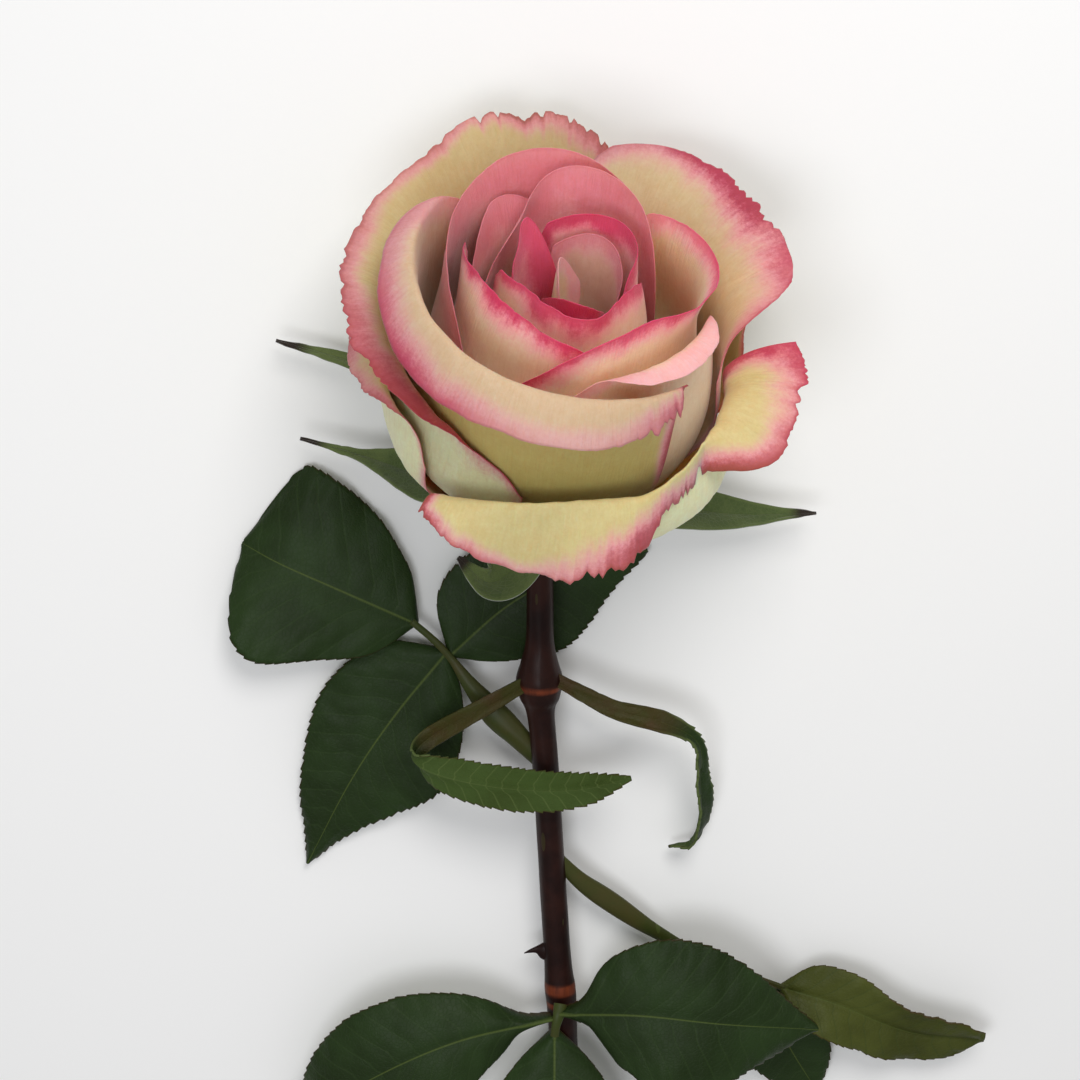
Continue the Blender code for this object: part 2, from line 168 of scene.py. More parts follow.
def streaks(tree, x, y, across, lengthways, detail=3.0, rough=0.6):
    # noise drawn out along the ribs, read from the piece's own UV map
    uv = nodeOf(tree, "ShaderNodeUVMap", x - 400, y, uv_map="ribs")
    mapping = nodeOf(tree, "ShaderNodeMapping", x - 200, y, Scale=(across, lengthways, 1))
    texture = nodeOf(tree, "ShaderNodeTexNoise", x, y, Scale=1.0, Detail=detail, Roughness=rough)
    tree.links.new(uv.outputs[0], mapping.inputs[0])
    tree.links.new(mapping.outputs[0], texture.inputs["Vector"])
    return texture.outputs["Fac"]


def speckle(tree, x, y, scale, detail=4.0, rough=0.6):
    coords = nodeOf(tree, "ShaderNodeTexCoord", x - 300, y)
    texture = nodeOf(tree, "ShaderNodeTexNoise", x, y, Scale=scale, Detail=detail, Roughness=rough)
    tree.links.new(coords.outputs["Object"], texture.inputs["Vector"])
    return texture.outputs["Fac"]


petalTones = {
    "cream": (0.58, 0.42, 0.265), "yellow": (0.53, 0.48, 0.185), "green": (0.33, 0.35, 0.095),
    "pale": (0.70, 0.68, 0.40), "moss": (0.48, 0.40, 0.11), "palePink": (0.67, 0.36, 0.335),
    "pink": (0.60, 0.125, 0.185), "magenta": (0.42, 0.028, 0.085), "brown": (0.19, 0.06, 0.035),
    "roughness": 0.55, "softness": 0.45, "veins": 0.4, "relief": 0.55,
}


def shareOf(tree, x, y, value, low, high):
    # 0 below low, 1 above high, smooth between
    node = nodeOf(tree, "ShaderNodeMapRange", x, y, interpolation_type="SMOOTHSTEP")
    node.inputs["From Min"].default_value = low
    node.inputs["From Max"].default_value = high
    tree.links.new(value, node.inputs["Value"])
    return node.outputs[0]


def petalPaint(name, face, look):
    # cream skin, greener towards the claw, that warms through pink to magenta at the margin, with faint veins
    material, tree, shader = blankMaterial(f"{name}{face}")
    tone = petalTones
    outside = face == "Outside"
    inset = attribute(tree, -1600, 300, "inset")
    warmth = attribute(tree, -1600, 150, "warmth")
    rise = attribute(tree, -1600, 0, "rise")
    broad = streaks(tree, -1200, 500, 1.1, 0.8, 5.0, 0.5)
    fine = streaks(tree, -1200, 200, 24.0, 2.4, 4.0, 0.6)
    crumb = speckle(tree, -1200, -500, 420.0, 4.0, 0.65)
    patch = speckle(tree, -1200, -700, 95.0, 2.0, 0.5)
    wobble = compute(tree, -900, 500, "MULTIPLY_ADD", broad, 1.1, -0.55)
    wobble = compute(tree, -750, 500, "MULTIPLY_ADD", fine, 0.14, wobble)
    wobble = compute(tree, -650, 500, "MULTIPLY_ADD", patch, 0.6, wobble)
    grain = speckle(tree, -1200, -900, 1500.0, 3.0, 0.7)
    wobble = compute(tree, -550, 650, "MULTIPLY_ADD", grain, 0.32,
                     compute(tree, -600, 650, "SUBTRACT", wobble, 0.16))
    reach = compute(tree, -450, 500, "ADD", inset, wobble)
    reach = compute(tree, -400, 600, "ADD", reach, -0.1 if outside and "out" not in look else -0.35)
    amount = compute(tree, -300, 500, "SUBTRACT", 1.0, reach, clamp=True)
    amount = compute(tree, -150, 500, "POWER", amount, 1.3)
    blush = look.get("blush", 0.0)
    flush = compute(tree, -150, 750, "MULTIPLY", shareOf(tree, -300, 750, rise, 0.1, 0.9), blush)
    flush = compute(tree, 0, 750, "MULTIPLY_ADD", broad, 0.3 * blush, flush)
    amount = compute(tree, 0, 500, "MULTIPLY_ADD", amount, 1.0 - 0.5 * blush, flush, clamp=True)
    plain = tone[look.get("out", "pale")] if outside else [
        c * (1 - look.get("yellow", 0.3)) + y * look.get("yellow", 0.3)
        for c, y in zip(tone["cream"], tone["yellow"])]
    green = compute(tree, -900, -300, "SUBTRACT", look.get("green", 0.35) + (0.2 if outside else 0), rise)
    body = mixColour(tree, -600, -100, compute(tree, -750, -300, "MULTIPLY", green, 2.0, clamp=True), plain,
                     tone["green"])
    skin = mixColour(tree, 150, 200, shareOf(tree, 0, 350, amount, -0.1, 0.65), body, tone["palePink"])
    hot = compute(tree, 150, 500, "MULTIPLY", shareOf(tree, 0, 500, amount, 0.15, 1.0), warmth)
    skin = mixColour(tree, 300, 200, hot, skin, tone["pink"])
    edge = mixColour(tree, 0, 1100, attribute(tree, -300, 1150, "dry"), tone["magenta"], tone["brown"])
    rim = compute(tree, 150, 800, "MULTIPLY", shareOf(tree, 0, 800, amount, 0.5, 1.0), look.get("edge", 0.7))
    rim = compute(tree, 250, 800, "MULTIPLY", rim, compute(tree, 150, 900, "MULTIPLY", warmth, warmth))
    skin = mixColour(tree, 450, 200, rim, skin, edge)
    margin = compute(tree, 0, 1000, "MULTIPLY_ADD", patch, 1.6, attribute(tree, -300, 1000, "margin"))
    line = compute(tree, 250, 1000, "MULTIPLY", shareOf(tree, 150, 1000, margin, 1.5, 0.8),
                   look.get("edge", 0.7))
    skin = mixColour(tree, 550, 200, compute(tree, 350, 1000, "MULTIPLY", line, warmth), skin, edge)
    vein = compute(tree, 150, 0, "MULTIPLY_ADD", fine, tone["veins"], 1.0 - tone["veins"] * 0.5)
    vein = compute(tree, 150, -100, "MULTIPLY", vein,
                   compute(tree, 0, -200, "MULTIPLY_ADD", crumb, 0.5, 0.75))
    vein = compute(tree, 200, -100, "MULTIPLY", vein, compute(tree, 0, -250, "MULTIPLY_ADD", grain, 0.4, 0.8))
    shades = nodeOf(tree, "ShaderNodeCombineColor", 450, 0)
    for k in range(3):
        tree.links.new(compute(tree, 300, -60 * k, "POWER", vein, 0.3 + 0.3 * k), shades.inputs[k])
    skin = mixColour(tree, 600, 200, 0.9, skin, shades.outputs[0], "MULTIPLY")
    # painted light: lift multiplies both faces' colour, brighter for the light that reaches the deeper
    # petals, darker below 1 as painted shade
    lift = look.get("lift", 1.0)
    skin = mixColour(tree, 750, 200, 1.0, skin, (lift, lift, lift), "MULTIPLY")
    tree.links.new(skin, shader.inputs["Base Color"])
    shader.inputs["Roughness"].default_value = tone["roughness"]
    shader.inputs["Specular IOR Level"].default_value = 0.3
    shader.inputs["Sheen Weight"].default_value = 0.15
    shader.inputs["Sheen Roughness"].default_value = 0.4
    shader.inputs["Subsurface Weight"].default_value = tone["softness"]
    shader.inputs["Subsurface Radius"].default_value = (1.0, 0.45, 0.25)
    shader.inputs["Subsurface Scale"].default_value = 0.0014
    bump = nodeOf(tree, "ShaderNodeBump", 500, -250, Strength=tone["relief"], Distance=0.00035)
    height = compute(tree, 300, -300, "MULTIPLY_ADD", broad, 0.6, fine)
    tree.links.new(compute(tree, 400, -300, "MULTIPLY_ADD", crumb, 0.5, height), bump.inputs["Height"])
    tree.links.new(bump.outputs[0], shader.inputs["Normal"])
    return material


# Petals, from the outside in. turn: first and last azimuth in degrees, 0 is right, 90 down on the surface.
# belly, crest and rim: radius and height in mm across the petal. reach: how far up its ribs the petal goes.
# rag: how torn the rim is. ruffle: how wavy. corner: how much its two corners are rounded.
# look: band, mm of pink at the rim, and heat, its strength, each one number or several across. edge darkens
# the very rim and dry browns it. blush tints the whole petal, yellow and green raise those tones, out names
# the outer face's tone, and lift brightens both faces: painted light, a brighter colour standing in for the
# light that reaches the deeper petals (below 1 it paints shade).
petals = {
    "petal_front_outer": dict(
        turn=(234, 368), layer=0, belly=([33, 33.5, 34, 34, 32.5], 19),
        crest=([38.5, 36, 34.8, 34.8, 32, 31, 30.5], [27.5, 32, 34.5, 34.5, 36.5, 36.5, 34]),
        rim=([43.5, 43.5, 40, 39, 42, 43, 38.5, 35.5, 34.5, 44.5, 44.5, 45, 43],
             [22, 21.5, 19, 18, 19, 22, 27, 28, 30.5, 33, 36.5, 40, 41]),
        reach=[0.97, 1.0, 1.0, 1.0, 1.0, 1.0, 1.0, 1.0],
        rag=[1.3, 0.5, 0.3, 0.5, 1.2, 0.9, 1.2, 0.8, 0.3, 0.6, 0.9, 0.2], corner=0, ruffle=0.6,
        look=dict(band=[4, 3, 2.5, 6, 7, 5, 4, 4, 8, 11], heat=[1, 0.5, 0.35, 0.6, 0.9, 0.8, 1, 0.7, 0.8, 1],
                  edge=1.0, dry=[0.7, 0.4, 0.3, 0.5, 0.7, 0.5, 0.7, 0.8, 0.4, 0.2, 0.1], yellow=0.7,
                  green=0.3, lift=1.18)),
    "petal_left_outer": dict(
        turn=(108, 226), layer=0, belly=([33, 33, 33], 19),
        crest=([39, 37, 35], [37, 36, 34]), rim=([49.4, 47, 42, 43, 39], [33.9, 34, 33, 28, 24.5]),
        reach=[0.995, 1.0, 1.0, 1.0, 0.92, 0.74], rag=0.6, ruffle=0.5,
        look=dict(band=5, heat=0.7, edge=0.6, green=0.5, yellow=0.6, dry=0.6)),
    "petal_back_outer": dict(
        turn=(12, 103), layer=0, belly=([32, 33, 33], 19),
        crest=([37, 39, 39], [38, 40, 39]), rim=([44, 52, 54.1, 50.5], [37, 41, 42, 38]),
        reach=[0.65, 0.95, 1.0, 0.98, 0.75], rag=1.0, ruffle=0.6,
        look=dict(band=4.5, heat=0.8, edge=0.9, green=0.5, yellow=0.6, dry=0.7)),
    "petal_left_back": dict(
        turn=(82, 259), layer=1, belly=([30.5, 31, 31.5, 31, 29.5], 20),
        crest=([37, 37.5, 36, 33.5, 31], [44, 45, 44, 41.5, 33]),
        rim=([46.5, 49.2, 45, 46.5, 42, 35.5, 32.9], [55.5, 55.5, 51.5, 46.5, 45, 40.5, 32]),
        reach=[0.95, 1.0, 1.0, 1.0, 1.0, 1.0, 0.9], rag=[1.2, 1.4, 0.4, 0.8, 0.8, 0.4, 0.2], ruffle=0.7,
        look=dict(band=[8, 4, 3, 5, 8, 10, 8], heat=[0.7, 0.6, 0.4, 0.5, 0.75, 0.85, 0.9], edge=1.0,
                  green=0.35, yellow=0.6, lift=0.95, dry=[0.9, 0.9, 0.7, 0.6, 0.4, 0.3, 0.2])),
    "petal_right_back": dict(
        turn=(-8, 108), layer=2, belly=([28.5, 29, 29], 21),
        crest=([28.5, 31, 31.5, 29.5], [44, 45, 46, 46]),
        rim=([34.5, 41, 45.2, 47.4, 42, 33.2], [51, 52, 52, 52.5, 52.5, 52]),
        reach=[0.8, 1.0, 1.0, 1.0, 1.0, 0.8], rag=[0.3, 0.4, 1.0, 0.7, 0.3, 0.5], ruffle=0.6,
        look=dict(band=[9, 10, 12, 7, 6, 7], heat=[0.4, 0.7, 1, 1, 0.45, 0.35], edge=1.0, yellow=0.3,
                  dry=[0.1, 0.1, 0.3, 0.2, 0.3, 0.5], lift=1.1)),
    "petal_left_front": dict(
        turn=(130, 311), layer=3, belly=([27.5, 28, 28, 27.5, 27], 22),
        crest=([29.5, 30.5, 31, 32.5, 32.5, 32, 30.5], [56, 59, 60, 60, 59, 58, 55.5]),
        rim=([33, 35, 37.5, 39.2, 39.5, 38.3, 34.5], [58, 59, 57, 53, 53, 52, 47.5]),
        reach=[0.85, 0.98, 1.0, 1.0, 1.0, 1.0, 0.98], rag=[0.15, 0.15, 0.15, 0.15, 0.15, 0.2, 2], ruffle=0.25,
        look=dict(band=[8, 8, 5, 4.5, 3, 3, 5], heat=[0.3, 0.35, 0.6, 1, 0.28, 0.15, 1], edge=0.8,
                  green=0.4, blush=0.05, out="moss", dry=[0, 0, 0, 0.1, 0, 0.1, 0.6], yellow=0.1, lift=1.05)),
    "petal_front_right": dict(
        turn=(256, 372), layer=4, belly=([26, 26.3, 26.5], 23),
        crest=([26.2, 26.8, 25.5, 24.5, 25], [53, 57.5, 58, 57, 54]),
        rim=([27.8, 30.6, 31.2, 27.6, 26.5], [55, 59.5, 60, 59.5, 56]),
        reach=[0.8, 0.98, 1.0, 0.96, 0.68], rag=0.15, ruffle=0.2,
        look=dict(band=5.0, heat=0.3, blush=0.12, green=0.35, edge=0.3, out="cream", lift=1.6)),
    "petal_back_first": dict(
        turn=(69.5, 232), layer=4, belly=([25.5, 26, 26, 25.5], 24),
        crest=([24.5, 26, 25.5, 25], [52, 54, 52, 42]),
        rim=([22.6, 27.6, 29, 27.2, 25.2, 25, 26], [61, 62.5, 62.5, 60.5, 58, 55, 47]),
        reach=[0.97, 1.0, 1.0, 1.0, 1.0, 1.0, 0.9], rag=0.15, ruffle=0.2,
        look=dict(band=14.0, heat=0.6, blush=0.4, edge=0.4, lift=1.12)),
    "petal_right_wrap": dict(
        turn=(240, 427), layer=5, belly=([24.5, 24, 23.5, 24, 24], 25),
        crest=([25.5, 24.5, 22, 21.5, 22, 22.5, 23], [50, 54, 56, 54, 52, 51, 50]),
        rim=([28.3, 25.8, 21.8, 23.4, 24.5, 23.8, 25], [53, 64, 65.5, 63.5, 61, 59.5, 57.5]),
        reach=[0.88, 0.98, 1.0, 1.0, 1.0, 1.0, 0.95], rag=0.2, ruffle=0.25,
        look=dict(band=[5, 8, 8, 8, 6, 6, 6], heat=[1, 1, 1, 1, 0.9, 0.7, 0.5], edge=0.8, blush=0.1,
                  out="cream", lift=1.6)),
    "petal_left_inner": dict(
        turn=(160, 300), layer=6, belly=([22.5, 22.5, 22], 26),
        crest=([22.5, 21.5, 20.5], [47, 50, 50]),
        rim=([23.6, 20.2, 18.4, 20.4, 18.5], [57, 60, 60, 59.5, 57]),
        reach=[0.97, 1.0, 1.0, 1.0, 0.88], rag=0.2, ruffle=0.2,
        look=dict(band=[4, 6, 9, 9, 8], heat=[0.8, 1, 1, 1, 1], edge=1.0, blush=0.08, out="cream", lift=1.5)),
    "petal_back_second": dict(
        turn=(92, 172), layer=7, belly=([21.5, 21.5, 20.5], 27),
        crest=([21.5, 22, 20.5], [46, 47, 46]), rim=([22.5, 23.8, 25, 23, 20.6], [54, 56.5, 57, 56, 53]),
        reach=[0.85, 1.0, 0.9], rag=0.15, ruffle=0.15,
        look=dict(band=14.0, heat=0.6, blush=0.35, edge=0.4, lift=1.25)),
    "petal_dome": dict(
        turn=(25, 180), layer=8, belly=([17.5, 19.5, 18.5], 28),
        crest=([16.5, 20, 17.5], [43, 50, 42]), rim=([14.8, 19.3, 23.4, 16.2, 18], [54, 62, 62.5, 59, 51.5]),
        reach=[0.95, 1.0, 1.0, 1.0, 0.92], rag=0.15, ruffle=0.15,
        look=dict(band=20.0, heat=0.6, blush=0.3, edge=0.4, lift=1.25)),
    "petal_heart_front": dict(
        turn=(182, 372), layer=9, belly=([16.2, 16, 15], 30),
        crest=([15.8, 14.5, 13], [46, 48, 46]),
        rim=([15.8, 12.2, 13.2, 14.2, 10.4, 9.8, 10.3], [58, 59, 60, 60, 60, 59.5, 58]),
        reach=[1.0, 1.0, 1.0, 1.0, 1.0, 1.0, 0.95], rag=0.25, ruffle=0.2,
        look=dict(band=[4, 5, 8, 8, 6, 5, 4], heat=0.9, blush=0.2, edge=1.0, out="cream", lift=1.5)),
    "petal_folded": dict(
        turn=(120, 205), layer=11, belly=([11, 12.5, 12.5], 32),
        crest=([9, 12.5, 11.5], [44, 48, 44]), rim=([7.2, 14.2, 13, 12.6, 10.4], [51, 62.5, 58.5, 55.5, 52]),
        reach=[0.95, 1.0, 0.95], rag=0.1, ruffle=0.1,
        look=dict(band=12.0, heat=1.0, blush=0.45, edge=0.6, lift=1.45)),
    "petal_heart_back": dict(
        turn=(-22, 128), layer=10, belly=([11.5, 14, 14], 31),
        crest=([9, 13.5, 14], [46, 48, 46]),
        rim=([7.4, 8, 12.2, 14.9, 14.2, 13.6], [56, 57.5, 58.5, 59, 59, 58]),
        reach=[0.95, 1.0, 1.0, 1.0], rag=0.1, ruffle=0.1,
        look=dict(band=6.0, heat=1.0, blush=0.4, edge=0.8, lift=1.5)),
    "petal_heart_inner": dict(
        turn=(200, 318), layer=12, belly=([9.5, 9.5, 9], 33),
        crest=([8.3, 8.5, 7.6], [45, 46, 45]), rim=([7, 7.2, 8.3, 8.2, 6.3], [55, 57, 58, 57.5, 55]),
        reach=[0.95, 1.0, 0.95], rag=0.1, ruffle=0.1,
        look=dict(band=9.0, heat=1.0, blush=0.6, edge=1.0, lift=1.4)),
    "petal_heart_curl": dict(
        turn=(-5, 125), layer=12, belly=([8, 9.5, 10], 33),
        crest=([6, 8.8, 10.5, 10.5], [44, 45, 46, 45]), rim=([6, 9.6, 12, 11.3], [52, 55, 57, 57]),
        reach=[0.9, 1.0, 0.95], rag=0.1, ruffle=0.1,
        look=dict(band=6.0, heat=0.5, blush=0.25, edge=0.6, lift=1.2)),
    "petal_heart_sliver": dict(
        turn=(85, 235), layer=13, belly=([5.2, 5.2, 5], 34),
        crest=([5, 5, 4.5], [44, 45, 44]), rim=([6.4, 5.6, 4.4, 3.6], [54, 58, 57.5, 53]),
        reach=[0.9, 1.0, 0.9], rag=0.1, ruffle=0.1,
        look=dict(band=5.0, heat=0.3, blush=0.12, edge=0.4, lift=1.6)),
}


def claw(layer):
    return 8.8 - 0.62 * layer, -1.6 + 0.85 * layer


def profile(spec, u, v):
    # radius, height and rib length in mm at share v of the rib at u: a curve by claw, belly, crest and rim
    knots = (claw(spec["layer"]), spec["belly"], spec["crest"], spec["rim"])
    flare = math.radians(10 + 4.5 * spec["layer"])
    values = [[along(knot[k], u) for knot in knots] for k in (0, 1)]
    gap = [np.hypot(*(p[k + 1] - p[k] for p in values)) for k in range(3)]
    start = (0, gap[0], gap[0] + gap[1])
    total = gap[0] + gap[1] + gap[2]
    s = v * total
    out = []
    for p, lean in zip(values, (math.cos(flare), math.sin(flare))):
        slope = [1.25 * lean, (p[2] - p[0]) / (gap[0] + gap[1]), (p[3] - p[1]) / (gap[1] + gap[2])]
        slope.append(2 * (p[3] - p[2]) / gap[2] - slope[2])
        value = np.zeros(np.shape(u))
        for k in range(3):
            f = np.clip((s - start[k]) / gap[k], 0, 1)
            first = (2 * f**3 - 3 * f**2 + 1) * p[k] + (f**3 - 2 * f**2 + f) * gap[k] * slope[k]
            last = (3 * f**2 - 2 * f**3) * p[k + 1] + (f**3 - f**2) * gap[k] * slope[k + 1]
            value = np.where(s >= start[k], first + last, value)
        out.append(value)
    return out[0], out[1], total


def petalSurface(spec, seed, u, v):
    # points in the bloom's frame and each point's distance to the margin, in mm
    reach = along(spec["reach"], u)
    rag = np.maximum(along(spec["rag"], u), 0)
    nicks = wander(u * 11, u * 0, seed) * 0.6 + wander(u * 37, u * 0, seed + 5) * 0.3
    nicks = (nicks - rag * np.maximum(wander(u * 52, u * 0, seed + 8), 0)
             + 0.2 * wander(u * 110, u * 0, seed + 9))
    radius, height, total = profile(spec, u, v * reach)
    reach = (reach * (1 + rag * 0.024 * (nicks - 0.3))
             - spec.get("corner", 0.05) * smooth(0.9, 1.0, np.abs(u)) ** 2)
    radius, height, total = profile(spec, u, v * reach)
    first, last = (math.radians(x) for x in spec["turn"])
    azimuth = (first + last) / 2 + (last - first) / 2 * u
    ruffle = spec["ruffle"]
    sway = wander(u * 3.2, v * 1.5, seed + 11) * 1.1 * smooth(0.35, 1.0, v)
    crease = np.abs(wander(u * 11, v * 1.8, seed + 31)) * smooth(0.3, 0.7, v) * (1 - smooth(0.93, 1.0, v))
    frill = wander(u * 9.0, v * 2.0, seed + 17) * smooth(0.75, 1.0, v)
    radius = radius + ruffle * (sway + frill + 0.7 * crease)
    height = height + ruffle * (sway * 0.3 - frill * 0.7)
    points = np.stack([radius * np.cos(azimuth), radius * np.sin(azimuth), height], axis=-1)
    toRim = (1 - v) * reach * total
    toSide = (1 - np.abs(u)) * (last - first) / 2 * np.maximum(radius, 4)
    margin = np.minimum(toRim, toSide * 1.2 + 8 * (1 - smooth(0.2, 0.75, v)))
    return points, margin


def setFloats(mesh, name, values):
    layer = mesh.attributes.new(name, "FLOAT", "POINT")
    layer.data.foreach_set("value", np.asarray(values, np.float32))


def setRibs(mesh, pairs):
    layer = mesh.uv_layers.new(name="ribs")
    loops = np.zeros(len(mesh.loops), np.int32)
    mesh.loops.foreach_get("vertex_index", loops)
    layer.data.foreach_set("uv", np.asarray(pairs, np.float32)[loops].ravel())


def thinBody(name, bm, thickness, inside, outside):
    mesh = bpy.data.meshes.new(name)
    bm.to_mesh(mesh)
    bm.free()
    mesh.shade_smooth()
    obj = bpy.data.objects.new(name, mesh)
    bpy.context.scene.collection.objects.link(obj)
    mesh.materials.append(inside)
    mesh.materials.append(outside)
    wall = obj.modifiers.new("wall", "SOLIDIFY")
    wall.thickness = thickness * mm
    wall.offset = 0
    wall.material_offset = 1
    wall.material_offset_rim = 0
    return obj


def pieceName(node):
    words = node.split("_")
    return words[0] + "".join(word.capitalize() for word in words[1:])


def makePetal(node, spec, seed):
    bm = bmesh.new()
    arc = math.radians(spec["turn"][1] - spec["turn"][0]) * max(spec["rim"][0])
    bmesh.ops.create_grid(bm, x_segments=40 + round(arc / bloom["pitch"]), y_segments=bloom["up"], size=1.0)
    flat = np.array([vert.co for vert in bm.verts])
    u, v = np.sin(flat[:, 0] * math.pi / 2), (flat[:, 1] + 1) / 2
    v = 1 - (1 - v) ** 1.25  # rows crowd together towards the rim
    points, margin = petalSurface(spec, seed, u, v)
    turn = np.array(bloomFrame().to_3x3())
    points = points @ turn.T + np.array(bloom["foot"])
    points[:, 2] = offSurface(points[:, 2])
    for vert, point in zip(bm.verts, points):
        vert.co = Vector(point) * mm + place
    bmesh.ops.reverse_faces(bm, faces=bm.faces)
    name = pieceName(node)
    paints = [petalPaint(name, face, spec["look"]) for face in ("Inside", "Outside")]
    obj = thinBody(name, bm, bloom["thickness"], *paints)
    setFloats(obj.data, "margin", margin)
    setFloats(obj.data, "inset", margin / along(spec["look"]["band"], u))
    setFloats(obj.data, "warmth", along(spec["look"]["heat"], u))
    setFloats(obj.data, "dry", np.clip(along(spec["look"].get("dry", 0), u), 0, 1))
    setFloats(obj.data, "rise", v)
    half = math.radians(spec["turn"][1] - spec["turn"][0]) / 2
    setRibs(obj.data, np.stack([u * half * 2.5 + seed, v * 5], axis=-1))
    thin = obj.vertex_groups.new(name="thin")
    for index, weight in enumerate(0.4 + 0.6 * smooth(0, 4, margin)):
        thin.add([index], weight, "REPLACE")
    obj.modifiers["wall"].vertex_group = "thin"
    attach(obj, "root")
    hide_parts(node)
    return obj


for count, (node, spec) in enumerate(petals.items()):
    makePetal(node, spec, count + 1)
print("petals made:", len(petals))


# Leaves, bracts and sepals: each a thin blade along a spine. spine: places in mm from base to tip.
# up: where the upper face looks. left, right: width of each side in mm. fold: degrees each side is raised.
# curl: mm the edges bend down. teeth: depth of the saw edge in mm. vein: mm between side veins.
# wave: mm the margins sway.
# arm: 1 where the first third is a bare smooth stalk.
above = (0, 0.2, 1)
leafTones = {
    "upper": (0.011, 0.023, 0.004), "upperLight": (0.019, 0.040, 0.009), "rib": (0.075, 0.105, 0.022),
    "vein": (0.024, 0.046, 0.011), "under": (0.050, 0.085, 0.018), "underRib": (0.11, 0.15, 0.045),
    "olive": (0.040, 0.047, 0.007), "oliveLight": (0.068, 0.080, 0.014), "stalk": (0.036, 0.058, 0.010),
    "rust": (0.060, 0.024, 0.010), "down": (0.062, 0.095, 0.026), "pale": (0.13, 0.17, 0.055),
}
leaflets = {
    "leaflet_left_end": dict(
        spine=[(-27.5, 67.5, 5.5), (-43, 75.0, 6.0), (-56, 81, 5.5), (-64, 84.5, 2.4)], up=[above],
        left=[0.6, 9, 13, 15.5, 18, 20.5, 21.4, 20, 16, 10, 1],
        right=[0.6, 9, 13.5, 17, 19, 20.5, 21.3, 21.6, 20.8, 16, 2],
        fold=6, curl=2.0, teeth=0.45, vein=5.2, wave=0.7),
    "leaflet_left_low": dict(
        spine=[(-21.3, 61.2, 5.4), (-33, 46, 4.8), (-42.5, 31, 4.2), (-52.5, 10.8, 2.4)], up=[above],
        left=[0.5, 8.5, 13.5, 16.2, 17.8, 17.5, 15.5, 12, 7.5, 3.4, 0.4],
        right=[0.5, 10.5, 14, 15.5, 15.8, 14.8, 13, 10.8, 8, 4, 0.4],
        fold=5, curl=1.8, teeth=0.5, vein=5.0, wave=0.6),
    "leaflet_left_right": dict(
        spine=[(-20.6, 60.4, 5.2), (-8, 71.5, 4.2), (6, 79, 3.6), (21, 83, 2.6)], up=[(0, 0, 1)],
        left=[0.6, 9.5, 13, 14, 14, 13, 11.5, 9, 6, 3, 0.4],
        right=[0.6, 7, 11, 13.5, 14.5, 14.2, 12.5, 10, 7, 3.6, 0.4],
        fold=2, curl=0.8, teeth=0.5, vein=4.6, wave=0.4),
    "leaflet_top_left": dict(
        spine=[(1.4, -21.6, 13.2), (-20, -24.5, 18), (-40, -35, 17), (-58, -51.5, 10)], up=[above],
        left=[0.6, 2.2, 7, 10.5, 13.5, 14.5, 14, 12, 8.5, 4.5, 0.4],
        right=[0.6, 2, 6.5, 10, 12.5, 14, 14.2, 12.5, 9.5, 5, 0.4],
        fold=8, curl=4, teeth=0.4, vein=5.0, wave=0.6),
    "leaflet_top_right": dict(
        spine=[(2.4, -20.4, 13.2), (20, -17.5, 19), (38, -19, 20), (59, -22.5, 16)], up=[above],
        left=[0.6, 3.5, 11, 15, 17, 17.5, 16.5, 14, 10, 5, 0.6],
        right=[0.6, 3.5, 11, 14.5, 16.5, 17, 16, 13.5, 10, 5.5, 0.6],
        fold=8, curl=3, teeth=0.45, vein=5.0, wave=0.8),
    "leaflet_top_low": dict(
        spine=[(1.6, -24.6, 13.2), (1.5, -40, 17), (1, -58, 16.5), (-1, -78, 12)], up=[(0, 0, 1)],
        left=[0.6, 6, 10, 13, 14.5, 14.5, 13.5, 11.5, 8.5, 4.5, 0.4],
        right=[0.6, 6, 10, 13, 14.5, 14.5, 13.5, 11.5, 8.5, 4.5, 0.4],
        fold=8, curl=3, teeth=0.4, vein=4.8, wave=0.6),
    "leaflet_right_end": dict(
        spine=[(51.5, -17.5, 6.0), (64, -21, 7.5), (80, -28, 7), (97, -30, 7)],
        up=[(0, 0.5, 1), (0, 0.3, 1), (0, -0.2, 1), (0, -0.6, 1)],
        left=[0.5, 5.5, 8, 8.5, 8.5, 7.5, 7, 7, 6.5, 5.5, 1.5],
        right=[0.5, 5, 7.5, 8.5, 8.5, 8, 8, 7.5, 6.5, 5, 1.5],
        fold=22, curl=1.5, teeth=0.35, vein=4.0, wave=0.9),
    "leaflet_right_low": dict(
        spine=[(50.0, -18.2, 5.0), (53, -31, 3.8), (61, -46, 2.0)], up=[(0, 0, 1)],
        left=[0.5, 5, 8, 9.5, 9, 6, 0.4], right=[0.5, 5, 8, 10, 9, 6, 0.4],
        fold=5, curl=1, teeth=0.35, vein=3.8, wave=0.3),
}
